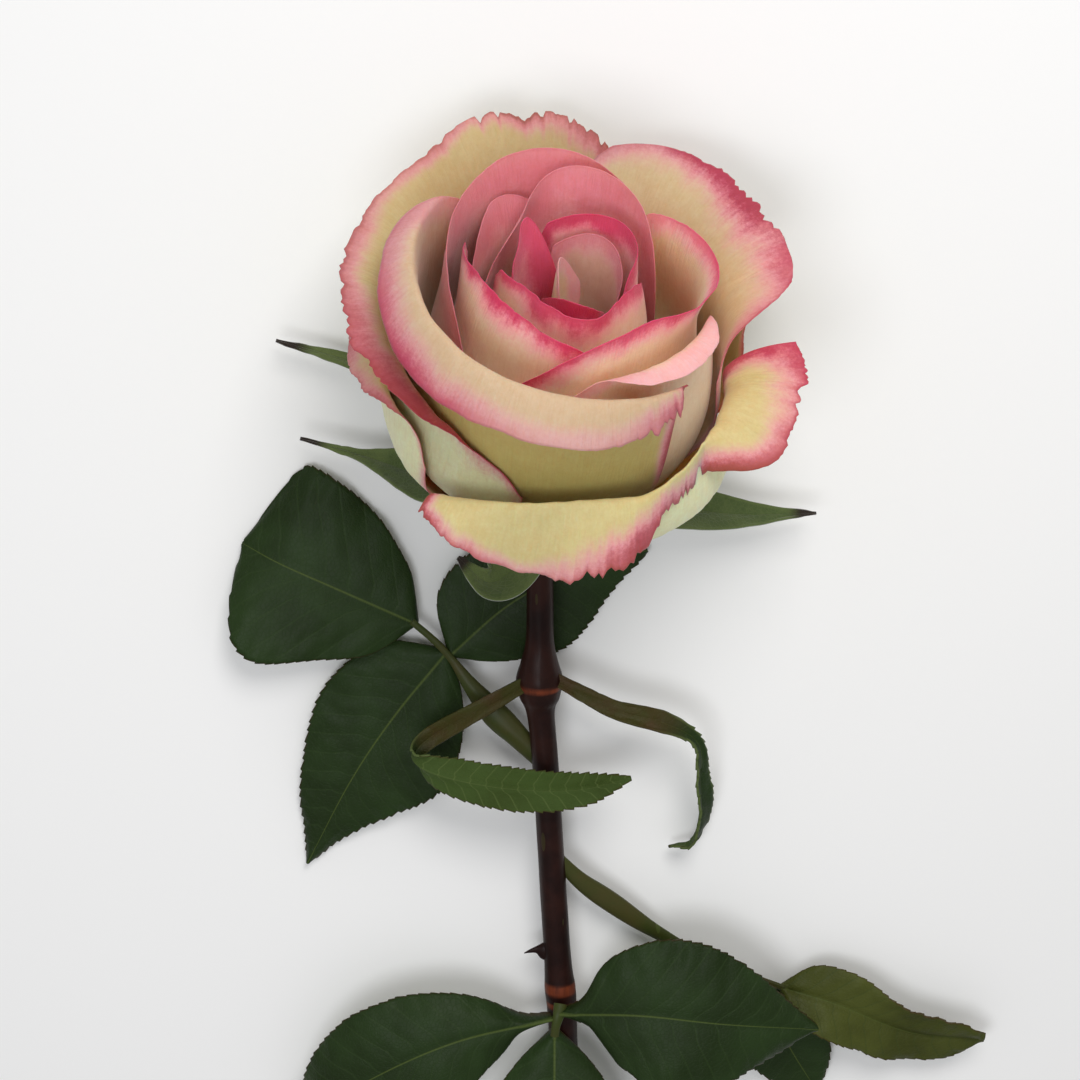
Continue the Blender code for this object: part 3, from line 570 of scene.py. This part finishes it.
bracts = {
    "bract_left": dict(
        spine=[(-3.0, 57.5, 11.6), (-15, 51, 13.3), (-25, 45, 13.5), (-28, 41.5, 16),
               (-22, 38.5, 18.5), (-8, 35.5, 18.5), (6, 35, 18), (17.5, 38, 18.5)],
        up=[(0, 0.3, 1), (0, 0.3, 1), (0.3, 0.3, 1), (1, 0.2, 0), (0.2, -0.1, -1),
            (0, -0.5, -1), (0, -0.6, -1), (0, -0.5, -1)],
        left=[1.5, 2.0, 2.3, 2.4, 3.2, 4.4, 4.6, 3.4, 0.5],
        right=[1.5, 2.0, 2.3, 2.4, 3.2, 4.6, 4.8, 3.8, 0.5],
        fold=20, teeth=0.6, vein=3.4, wave=0.35, arm=1),
    "bract_right": dict(
        spine=[(0.4, 58.2, 11.6), (14, 51.5, 13.5), (24, 48.5, 13.5), (31.5, 43.5, 12.5),
               (32.5, 34, 10.5), (33, 25, 8), (31.5, 18, 5.5), (26.5, 15.5, 3.5)],
        up=[(0, 0.4, 1), (0, 0.4, 1), (0.3, 0.4, 1), (0.8, 0.3, 0.8), (1, 0, 0.6),
            (1, 0, 0.5), (1, -0.2, 0.5), (1, -0.6, 0.6)],
        left=[1.3, 2.0, 2.5, 1.5, 2.8, 3.4, 2.6, 0.5], right=[1.3, 2.0, 2.2, 1.4, 3.0, 3.4, 2.6, 0.5],
        fold=16, teeth=0.7, vein=3.2, wave=0.5, arm=1),
}
outward = tuple(bloomFrame().to_3x3() @ Vector((0, -0.3, 1)))
sepals = {
    "sepal_left_low": dict(
        spine=[inBloom(184, 10.0, -4.2), inBloom(172, 22, -8), inBloom(167, 36, -9.5), inBloom(168, 52, -9)],
        up=[outward], left=[3.2, 4.8, 5.8, 6.0, 5.0, 3.2, 1.4, 0.6, 0.3],
        right=[3.2, 4.8, 6.0, 6.4, 5.2, 3.0, 1.2, 0.5, 0.3],
        fold=14, wave=0.5),
    "sepal_left_high": dict(
        spine=[inBloom(134, 10.0, -4.2), inBloom(143, 24, -2.5), inBloom(152, 43, 4), inBloom(159, 62, 7)],
        up=[outward], left=[3.0, 3.6, 3.2, 2.8, 2.2, 1.2, 0.3], right=[3.0, 3.6, 3.2, 2.8, 2.2, 1.2, 0.3],
        fold=14, wave=0.3),
    "sepal_right": dict(
        spine=[inBloom(12, 10.0, -4.2), inBloom(10, 24, -8), inBloom(9, 41, -10.5), inBloom(9, 57, -10)],
        up=[outward], left=[3.2, 4.8, 5.4, 5.2, 4.2, 2.8, 1.3, 0.3],
        right=[3.2, 4.8, 5.4, 5.2, 4.2, 2.8, 1.3, 0.3],
        fold=14, wave=0.3),
    "sepal_front": dict(
        spine=[inBloom(258, 10.0, -4.2), inBloom(255, 16, -8.5), inBloom(245, 22, -10), inBloom(228, 24, -6)],
        up=[outward], left=[3.2, 4.6, 5.2, 4.6, 2.4, 0.4],
        right=[3.2, 5.0, 5.4, 4.2, 2.0, 0.4], fold=10, wave=0.4),
    "sepal_back": dict(
        spine=[inBloom(84, 10.0, -4.2), inBloom(84, 13.5, -9), inBloom(84, 13, -16), inBloom(86, 11, -21)],
        up=[outward], left=[2.8, 3.4, 2.6, 0.4], right=[2.8, 3.4, 2.6, 0.4], fold=6, wave=0.2),
}


def bladeSurface(spec, seed, u, v):
    spine = spec["spine"]
    fine = np.linspace(-1, 1, 600)
    steps = np.linalg.norm(np.diff(alongRows(spine, fine), axis=0), axis=1)
    length = np.interp(v, fine, np.concatenate([[0], np.cumsum(steps)]))
    tangent = unit(alongRows(spine, np.minimum(v + 0.02, 1)) - alongRows(spine, np.maximum(v - 0.02, -1)))
    side = unit(np.cross(tangent, alongRows(spec["up"], v)))
    up = np.cross(side, tangent)
    half = np.where(u < 0, along(spec["left"], v), along(spec["right"], v))
    half = np.maximum(half, 0.25)
    far = np.abs(u)
    ends = smooth(-1, -0.85, v) * smooth(1.0, 0.9, v)
    saw = (length / 2.0 + 0.35 * wander(length * 0.3, np.sign(u), seed)) % 1
    plain = 1 - spec.get("arm", 0) * (1 - smooth(-0.32, -0.2, v))
    teeth = spec.get("teeth", 0) * ends * far**10 * plain
    x = half * far
    reach = x + teeth * (saw - 0.4)
    pitch = spec.get("vein", 5.0)
    order = (length - 0.75 * x + 0.12 * x * x / half) / pitch + 0.3 * smooth(0.05, 0.3, far) * np.sign(u)
    quilt = -np.cos(order * 2 * math.pi) * 0.018 * pitch * np.sqrt(far) * (1 - far**3) * ends * plain
    groove = -0.25 * np.exp(-((x / 0.9) ** 2)) * (half > 2.5)
    fold = np.radians(along(spec.get("fold", 0), v))
    sway = (wander(length * 0.11, u * 1.3, seed + 3) * far * 1.4
            + wander(length * 0.33, u * 2, seed + 9) * far**2)
    lift = x * np.sin(fold) - along(spec.get("curl", 0), v) * u**2 + spec["wave"] * sway * ends
    lift = lift + (quilt + groove if "teeth" in spec else groove * 0.6)
    points = alongRows(spine, v) + (reach * np.sign(u) * np.cos(fold))[:, None] * side + lift[:, None] * up
    points = points + (teeth * saw * 0.7)[:, None] * tangent
    points[:, 2] = offSurface(points[:, 2])
    return points, x * np.sign(u), length, order, (1 - far) * half


def lineAt(tree, x, y, value, width):
    # 1 where the value is 0, falling to 0 at the width
    near = compute(tree, x, y, "ABSOLUTE", value)
    near = compute(tree, x + 150, y, "DIVIDE", near, width)
    return compute(tree, x + 300, y, "SUBTRACT", 1.0, near, clamp=True)


def leafPaint(name, face, look):
    # dark skin between paler veins, a midrib, small cells, and the margin's thin rim
    material, tree, shader = blankMaterial(f"{name}{face}")
    tone = leafTones
    under = face == "Under"
    skin, light = (tone["under"], tone["pale"]) if under else (tone["upper"], tone["upperLight"])
    if "skin" in look:
        skin, light = tone[look["skin"]], tone[look["light"]]
    cloud = speckle(tree, -900, 300, 55.0, 5.0, 0.55)
    cloud = ramp(tree, -650, 300, cloud, [(0.35, (0, 0, 0)), (0.7, (1, 1, 1))])
    colour = mixColour(tree, -300, 300, cloud, skin, light)
    order = attribute(tree, -1200, 0, "order")
    phase = compute(tree, -1000, 0, "ADD", order, 0.5)
    phase = compute(tree, -850, 0, "FRACT", phase)
    phase = compute(tree, -700, 0, "SUBTRACT", phase, 0.5)
    veins = lineAt(tree, -500, 0, phase, 0.075)
    veins = compute(tree, -50, 0, "MULTIPLY", veins, look.get("veins", 0.5))
    across = attribute(tree, -1200, -250, "across")
    rise = attribute(tree, -1200, -350, "rise")
    width = compute(tree, -900, -350, "MULTIPLY_ADD", rise, -0.34, 0.42)
    rib = lineAt(tree, -500, -250, across, width)
    rib = compute(tree, -50, -250, "POWER", rib, 0.7)
    uv = nodeOf(tree, "ShaderNodeUVMap", -1200, -500, uv_map="ribs")
    cells = nodeOf(tree, "ShaderNodeTexVoronoi", -900, -500, feature="DISTANCE_TO_EDGE", Scale=11.0)
    tree.links.new(uv.outputs[0], cells.inputs["Vector"])
    net = compute(tree, -700, -500, "DIVIDE", cells.outputs["Distance"], 0.12, clamp=True)
    colour = mixColour(tree, 0, 300, veins, colour, tone["underRib"] if under else tone["vein"])
    colour = mixColour(tree, 150, 300, compute(tree, 0, 100, "MULTIPLY_ADD", net, -0.25, 0.25), colour, light)
    colour = mixColour(tree, 300, 300, compute(tree, 100, -250, "MULTIPLY", rib, look.get("ribShow", 0.8)),
                       colour, tone["underRib"] if under else tone["rib"])
    margin = attribute(tree, -300, 600, "margin")
    rim = compute(tree, -100, 600, "DIVIDE", margin, look.get("rim", 0.35))
    rim = compute(tree, 50, 600, "SUBTRACT", 1.0, rim, clamp=True)
    colour = mixColour(tree, 450, 300, compute(tree, 200, 600, "MULTIPLY", rim, 0.6), colour,
                       tone[look.get("rimTone", "rust")])
    if "arm" in look:
        arm = ramp(tree, 0, 900, rise, [(look["arm"] - 0.12, (1, 1, 1)), (look["arm"] + 0.05, (0, 0, 0))])
        colour = mixColour(tree, 600, 300, arm, colour,
                           mixColour(tree, 300, 900, cloud, tone["olive"], tone["rust"]))
    if "tip" in look:
        tip = ramp(tree, 0, 1100, rise, [(look["tip"], (0, 0, 0)), (min(1, look["tip"] + 0.08), (1, 1, 1))])
        colour = mixColour(tree, 750, 300, tip, colour, (0.02, 0.012, 0.008))
    tree.links.new(colour, shader.inputs["Base Color"])
    shader.inputs["Roughness"].default_value = look.get("rough", 0.65 if under else 0.5)
    shader.inputs["Specular IOR Level"].default_value = 0.13
    shader.inputs["Sheen Weight"].default_value = look.get("down", 0.0)
    shader.inputs["Sheen Roughness"].default_value = 0.5
    shader.inputs["Coat Weight"].default_value = 0.0 if under or "down" in look else 0.04
    shader.inputs["Coat Roughness"].default_value = 0.35
    height = compute(tree, 400, -500, "MULTIPLY_ADD", net, 0.5, cloud)
    height = compute(tree, 550, -500, "MULTIPLY_ADD", veins, 1.6 if under else -1.2, height)
    height = compute(tree, 700, -500, "MULTIPLY_ADD", rib, 2.0 if under else -0.8, height)
    bump = nodeOf(tree, "ShaderNodeBump", 850, -500, Strength=0.5, Distance=0.00018)
    tree.links.new(height, bump.inputs["Height"])
    tree.links.new(bump.outputs[0], shader.inputs["Normal"])
    return material


def makeBlade(node, spec, seed, grid, thickness, look):
    bm = bmesh.new()
    bmesh.ops.create_grid(bm, x_segments=grid[0], y_segments=grid[1], size=1.0)
    flat = np.array([vert.co for vert in bm.verts])
    u, v = np.sign(flat[:, 0]) * np.abs(flat[:, 0]) ** 0.85, flat[:, 1]
    points, across, length, order, margin = bladeSurface(spec, seed, u, v)
    for vert, point in zip(bm.verts, points):
        vert.co = Vector(point) * mm + place
    name = pieceName(node)
    obj = thinBody(name, bm, thickness, leafPaint(name, "Upper", look),
                   leafPaint(name, "Under", look.get("back", look)))
    for key, values in (("across", across), ("order", order), ("margin", margin), ("rise", (v + 1) / 2)):
        setFloats(obj.data, key, values)
    setRibs(obj.data, np.stack([across / 10 + seed, length / 10], axis=-1))
    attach(obj, "root")
    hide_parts(node)
    return obj


for count, (node, spec) in enumerate(leaflets.items()):
    yellowed = node == "leaflet_right_end"
    look = dict(skin="olive", light="oliveLight", veins=0.3, ribShow=0.4) if yellowed else dict()
    makeBlade(node, spec, 40 + count, (32, 150), 0.42, look)
for count, (node, spec) in enumerate(bracts.items()):
    makeBlade(node, spec, 60 + count, (24, 220), 0.5,
              dict(arm=0.36, tip=0.97, ribShow=0.3, rim=0.5, rimTone="pale",
                   back=dict(skin="stalk", light="under", arm=0.36, ribShow=0.3)))
for count, (node, spec) in enumerate(sepals.items()):
    look = dict(skin="down", light="pale", veins=0.15, ribShow=0.3, rim=0.8, rimTone="pale", tip=0.86,
                down=0.5, rough=0.7)
    makeBlade(node, spec, 80 + count, (22, 90), 0.5, look)
print("leaves, bracts and sepals made:", len(leaflets) + len(bracts) + len(sepals))


# Stem and leaf stalks: round bodies along a line of (x, y, z, radius), mm
stem = {
    "line": [
        (6.0, -192.0, 3.4, 3.3), (6.6, -150.0, 4.2, 3.15), (5.6, -105.0, 5.0, 3.1), (4.6, -62.0, 5.8, 3.05),
        (3.9, -38.0, 6.3, 3.05), (3.2, -22.0, 6.8, 3.3), (2.8, -17.0, 7.0, 3.4), (2.3, -10.0, 7.2, 3.0),
        (0.8, 15.0, 8.0, 2.85), (-0.5, 38.0, 8.8, 2.8), (-1.4, 49.0, 9.3, 3.0), (-1.6, 53.0, 9.5, 4.3),
        (-1.7, 57.0, 9.8, 4.9), (-1.7, 61.0, 10.0, 3.9), (-1.6, 66.0, 10.4, 3.0), (-1.6, 76.0, 11.4, 2.8),
        (-1.6, 86.0, 13.0, 2.8), (-1.5, 92.0, 14.8, 3.0)],
    "receptacle": [(-9.0, 4.4), (-6.4, 7.0), (-4.2, 8.6), (-2.8, 9.0), (-1.6, 7.8), (1.0, 6.0), (4.0, 4.0),
                   (7.5, 1.4)],
    "slant": 1.1,  # lean of the cut end
    "scars": [(-16.5, 1.6), (-20.5, 0.8), (55.6, 0.7)],  # rusty rings where leaves sat: y, half width in mm
    "scar": (0.16, 0.035, 0.014),
    "dark": (0.009, 0.0028, 0.0024), "warm": (0.028, 0.0085, 0.006), "green": (0.045, 0.040, 0.012),
    "top": (0.075, 0.105, 0.028),
    "wood": (0.45, 0.40, 0.22), "rough": 0.4, "coat": 0.03,
}
prickles = {
    "left": ((1.7, -8.0, 7.4), (-1.0, 0.15, 0.1), 2.4, 4.2),
    "right": ((0.0, 29.0, 8.6), (1.0, 0.35, 0.35), 1.8, 3.6),
    "lowLeft": ((4.6, -62.0, 6.2), (-1.0, -0.3, 0.3), 2.6, 5.0),
    "lowRight": ((5.8, -112.0, 5.4), (1.0, -0.3, 0.35), 2.6, 5.0),
    "lowTop": ((6.6, -150.0, 4.6), (-0.5, -0.35, 1.0), 2.6, 4.6),
}
petioles = {
    "petiole_left": [
        (-0.6, 36.5, 8.2, 1.6), (-6.0, 42.5, 7.4, 2.5), (-11, 47.5, 6.6, 2.9), (-16.0, 53.5, 6.0, 1.8),
        (-20.0, 59.3, 5.6, 0.9), (-23.5, 63.5, 5.6, 0.8), (-28.6, 68.2, 5.6, 0.75)],
    "petiole_right": [
        (1.6, 15.5, 7.8, 1.2), (7.0, 9.0, 6.8, 1.9), (14.0, 3.0, 5.6, 2.4), (24.0, -4.5, 5.0, 1.6),
        (37.0, -12.0, 5.0, 0.9), (52.4, -17.8, 6.0, 0.75)],
    "petiole_top": [
        (2.9, -18.6, 11.6, 1.5), (2.5, -20.6, 12.8, 1.3), (1.9, -23.0, 13.3, 1.0), (1.6, -25.6, 13.3, 0.9)],
}


def tubeMesh(line, around, lengthways, flat, rough, seed):
    # a grid rolled into a tube, open at its seam and ends, with each vertex's place and share of the length
    points = np.array(line, float)
    fine = np.linspace(-1, 1, 1500)
    track = np.stack([along(points[:, k], fine) for k in range(4)], axis=-1)
    steps = np.linalg.norm(np.diff(track[:, :3], axis=0), axis=1)
    length = np.concatenate([[0], np.cumsum(steps)])
    bm = bmesh.new()
    bmesh.ops.create_grid(bm, x_segments=around, y_segments=lengthways, size=1.0)
    grid = np.array([vert.co for vert in bm.verts])
    s = (grid[:, 1] + 1) / 2 * length[-1]
    centre = np.stack([np.interp(s, length, track[:, k]) for k in range(3)], axis=-1)
    radius = np.interp(s, length, track[:, 3])
    ahead = np.stack([np.interp(s + 0.6, length, track[:, k]) for k in range(3)], axis=-1)
    behind = np.stack([np.interp(s - 0.6, length, track[:, k]) for k in range(3)], axis=-1)
    tangent = unit(ahead - behind)
    side = unit(np.cross(tangent, np.array([0, 0, 1.0])))
    up = np.cross(side, tangent)
    angle = (grid[:, 0] + 1) * math.pi
    ring = wander(np.cos(angle) * 1.3 + s * 0.12, np.sin(angle) * 1.3, seed)
    ridge = wander(np.cos(angle) * 4 + seed, np.sin(angle) * 4 + s * 0.02, seed + 2)
    radius = radius * (1 + rough * ring + rough * 0.5 * ridge)
    spots = centre + radius[:, None] * (np.cos(angle)[:, None] * side + flat * np.sin(angle)[:, None] * up)
    return bm, spots, s / length[-1]


def closeTube(bm, rises, scars=None):
    for name, values in (("rise", rises), ("scar", rises * 0 if scars is None else scars)):
        layer = bm.verts.layers.float.new(name)
        for vert, value in zip(bm.verts, values):
            vert[layer] = value
    bmesh.ops.remove_doubles(bm, verts=bm.verts, dist=1e-7)
    rims = [edge for edge in bm.edges if edge.is_boundary]
    caps = bmesh.ops.holes_fill(bm, edges=rims, sides=0)["faces"]
    bmesh.ops.recalc_face_normals(bm, faces=bm.faces)
    for face in bm.faces:
        face.smooth = True
    for face in caps:
        face.smooth = False
        face.material_index = 1


def barkPaint(name, look):
    material, tree, shader = blankMaterial(name)
    cloud = speckle(tree, -900, 300, 90.0, 5.0, 0.6)
    cloud = ramp(tree, -650, 300, cloud, [(0.3, (0, 0, 0)), (0.75, (1, 1, 1))])
    colour = mixColour(tree, -300, 300, cloud, look["dark"], look["warm"])
    coords = nodeOf(tree, "ShaderNodeTexCoord", -1300, -100)
    mapping = nodeOf(tree, "ShaderNodeMapping", -1100, -100, Scale=(700, 160, 700))
    grain = nodeOf(tree, "ShaderNodeTexNoise", -900, -100, Scale=1.0, Detail=5.0, Roughness=0.6)
    tree.links.new(coords.outputs["Object"], mapping.inputs[0])
    tree.links.new(mapping.outputs[0], grain.inputs["Vector"])
    dots = nodeOf(tree, "ShaderNodeTexVoronoi", -900, -400, Scale=0.35)
    tree.links.new(mapping.outputs[0], dots.inputs["Vector"])
    dot = compute(tree, -650, -400, "LESS_THAN", dots.outputs["Distance"], 0.13)
    colour = mixColour(tree, -100, 300, compute(tree, -500, -400, "MULTIPLY", dot, 0.5), colour,
                       look["green"])
    rise = attribute(tree, -600, 600, "rise")
    top = ramp(tree, -300, 600, rise, [(look.get("greenFrom", 0.93), (0, 0, 0)),
                                       (look.get("greenFrom", 0.93) + 0.05, (1, 1, 1))])
    colour = mixColour(tree, 100, 300, top, colour, look["top"])
    scar = compute(tree, -300, 900, "MULTIPLY", attribute(tree, -600, 900, "scar"), grain.outputs["Fac"])
    colour = mixColour(tree, 200, 300, compute(tree, -100, 900, "MULTIPLY", scar, 1.6, clamp=True), colour,
                       look.get("scar", look["warm"]))
    tree.links.new(colour, shader.inputs["Base Color"])
    shader.inputs["Roughness"].default_value = look["rough"]
    shader.inputs["Coat Weight"].default_value = look["coat"]
    shader.inputs["Coat Roughness"].default_value = 0.3
    shader.inputs["Specular IOR Level"].default_value = 0.12
    bump = nodeOf(tree, "ShaderNodeBump", 300, -200, Strength=0.5, Distance=0.0002)
    tree.links.new(compute(tree, 100, -200, "ADD", grain.outputs["Fac"], dot), bump.inputs["Height"])
    tree.links.new(bump.outputs[0], shader.inputs["Normal"])
    return material


def cutPaint(name, wood):
    # the cut end: pale grained wood
    material, tree, shader = blankMaterial(name)
    grain = speckle(tree, -700, 0, 900.0, 5.0, 0.7)
    tree.links.new(mixColour(tree, -300, 0, grain, [c * 0.6 for c in wood], wood),
                   shader.inputs["Base Color"])
    shader.inputs["Roughness"].default_value = 0.8
    return material


def asObject(name, bm, *materials):
    mesh = bpy.data.meshes.new(name)
    bm.to_mesh(mesh)
    bm.free()
    obj = bpy.data.objects.new(name, mesh)
    bpy.context.scene.collection.objects.link(obj)
    for material in materials:
        mesh.materials.append(material)
    return obj


def makeStem():
    line = stem["line"] + [(*inBloom(0, 0, height), radius) for height, radius in stem["receptacle"]]
    bm, spots, rise = tubeMesh(line, 56, 640, 1.0, 0.03, 101)
    foot = np.exp(-rise * 700 / 12)
    spots[:, 1] += stem["slant"] * (spots[:, 2] - stem["line"][0][2]) * np.where(rise < 0.0001, 1, foot)
    for vert, spot in zip(bm.verts, spots):
        vert.co = Vector(spot) * mm + place
    far = np.abs(spots[:, 1, None] - np.array([band[0] for band in stem["scars"]]))
    reach = np.array([band[1] for band in stem["scars"]])
    closeTube(bm, rise, np.max(1 - smooth(0.5, 1.0, far / reach), axis=1))
    bark = barkPaint("bark", stem)
    obj = asObject("stemBody", bm, bark, cutPaint("cutWood", stem["wood"]))
    for count, (name, (root, way, base, length)) in enumerate(prickles.items()):
        way = Vector(way).normalized()
        hook = Vector((0, -1, 0))
        line = [(*(Vector(root) + way * 0.5), base * 1.15), (*(Vector(root) + way * 2.7), base * 0.85),
                (*(Vector(root) + way * (2.7 + length * 0.35)), base * 0.36),
                (*(Vector(root) + way * (2.7 + length * 0.7) + hook * 0.5), base * 0.17),
                (*(Vector(root) + way * (2.7 + length) + hook * 1.1), 0.1)]
        bm, spots, rise = tubeMesh(line, 24, 40, 0.5, 0.0, 120 + count)
        for vert, spot in zip(bm.verts, spots):
            vert.co = Vector(spot) * mm + place
        closeTube(bm, rise * 0)
        helper = asObject("prickle" + name.capitalize(), bm, bark)
        helper.hide_render = True
        join = obj.modifiers.new(name, "BOOLEAN")
        join.operation = "UNION"
        join.solver = "EXACT"
        join.object = helper
    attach(obj, "root")
    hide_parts("stem")


stalkLook = {
    "dark": (0.034, 0.050, 0.009), "warm": (0.055, 0.048, 0.013), "green": (0.08, 0.11, 0.025),
    "top": (0.08, 0.11, 0.025), "rough": 0.45, "coat": 0.1, "greenFrom": 0.94}


def makePetioles():
    bark = barkPaint("stalkSkin", stalkLook)
    for count, (node, line) in enumerate(petioles.items()):
        bm, spots, rise = tubeMesh(line, 28, 140, 0.55, 0.05, 140 + count)
        for vert, spot in zip(bm.verts, spots):
            vert.co = Vector(spot) * mm + place
        closeTube(bm, rise * 0.5)
        obj = asObject(pieceName(node), bm, bark, bark)
        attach(obj, "root")
        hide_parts(node)


makeStem()
makePetioles()
print("stem and stalks made:", 1 + len(petioles))


# The surface it lies on, the lights and the camera
studio = {"tilt": 18.0, "distance": 500.0, "view": 216.0, "aim": (-1.6, -11.4, 3.7), "key": 1.9, "fill": 1.1,
          "sky": 0.40}


def softLight(name, spot, size, power, colour):
    light = bpy.data.lights.new(name, "AREA")
    light.shape = "DISK"
    light.size = size
    light.energy = power
    light.color = colour
    obj = bpy.data.objects.new(name, light)
    bpy.context.scene.collection.objects.link(obj)
    target = Vector(bloom["foot"]) * mm + place
    obj.location = target + Vector(spot)
    obj.rotation_mode = "QUATERNION"
    obj.rotation_quaternion = Vector(spot).to_track_quat("Z", "Y")


def makeStudio():
    bm = bmesh.new()
    bmesh.ops.create_grid(bm, x_segments=1, y_segments=1, size=3.0)
    mesh = bpy.data.meshes.new("floor")
    bm.to_mesh(mesh)
    bm.free()
    floor = bpy.data.objects.new("floor", mesh)
    bpy.context.scene.collection.objects.link(floor)
    material, _, shader = blankMaterial("paleFloor")
    shader.inputs["Base Color"].default_value = (0.93, 0.93, 0.93, 1)
    shader.inputs["Roughness"].default_value = 0.9
    mesh.materials.append(material)
    world = bpy.data.worlds.new("studio")
    world.use_nodes = True
    world.node_tree.nodes["Background"].inputs[0].default_value = (1, 1, 1, 1)
    world.node_tree.nodes["Background"].inputs[1].default_value = studio["sky"]
    bpy.context.scene.world = world
    softLight("key", (0.10, 0.40, 0.46), 0.30, studio["key"], (1, 0.98, 0.95))
    softLight("fill", (-0.12, -0.05, 0.60), 0.3, studio["fill"], (0.95, 0.97, 1))
    tilt = math.radians(studio["tilt"])
    back = Vector((0, math.sin(tilt), math.cos(tilt)))
    up = Vector((0, math.cos(tilt), -math.sin(tilt)))
    camera = bpy.data.objects.new("camera", bpy.data.cameras.new("camera"))
    bpy.context.scene.collection.objects.link(camera)
    camera.data.lens = camera.data.sensor_width * studio["distance"] / studio["view"]
    camera.data.clip_start = 0.01
    turn = Matrix((Vector((1, 0, 0)), up, back)).transposed()
    camera.rotation_mode = "QUATERNION"
    camera.rotation_quaternion = turn.to_quaternion()
    target = Vector(bloom["foot"]) * mm + place + Vector(studio["aim"]) * mm
    camera.location = target + back * studio["distance"] * mm
    bpy.context.scene.camera = camera
    bpy.context.scene.view_settings.view_transform = "Standard"


makeStudio()
print("studio made")
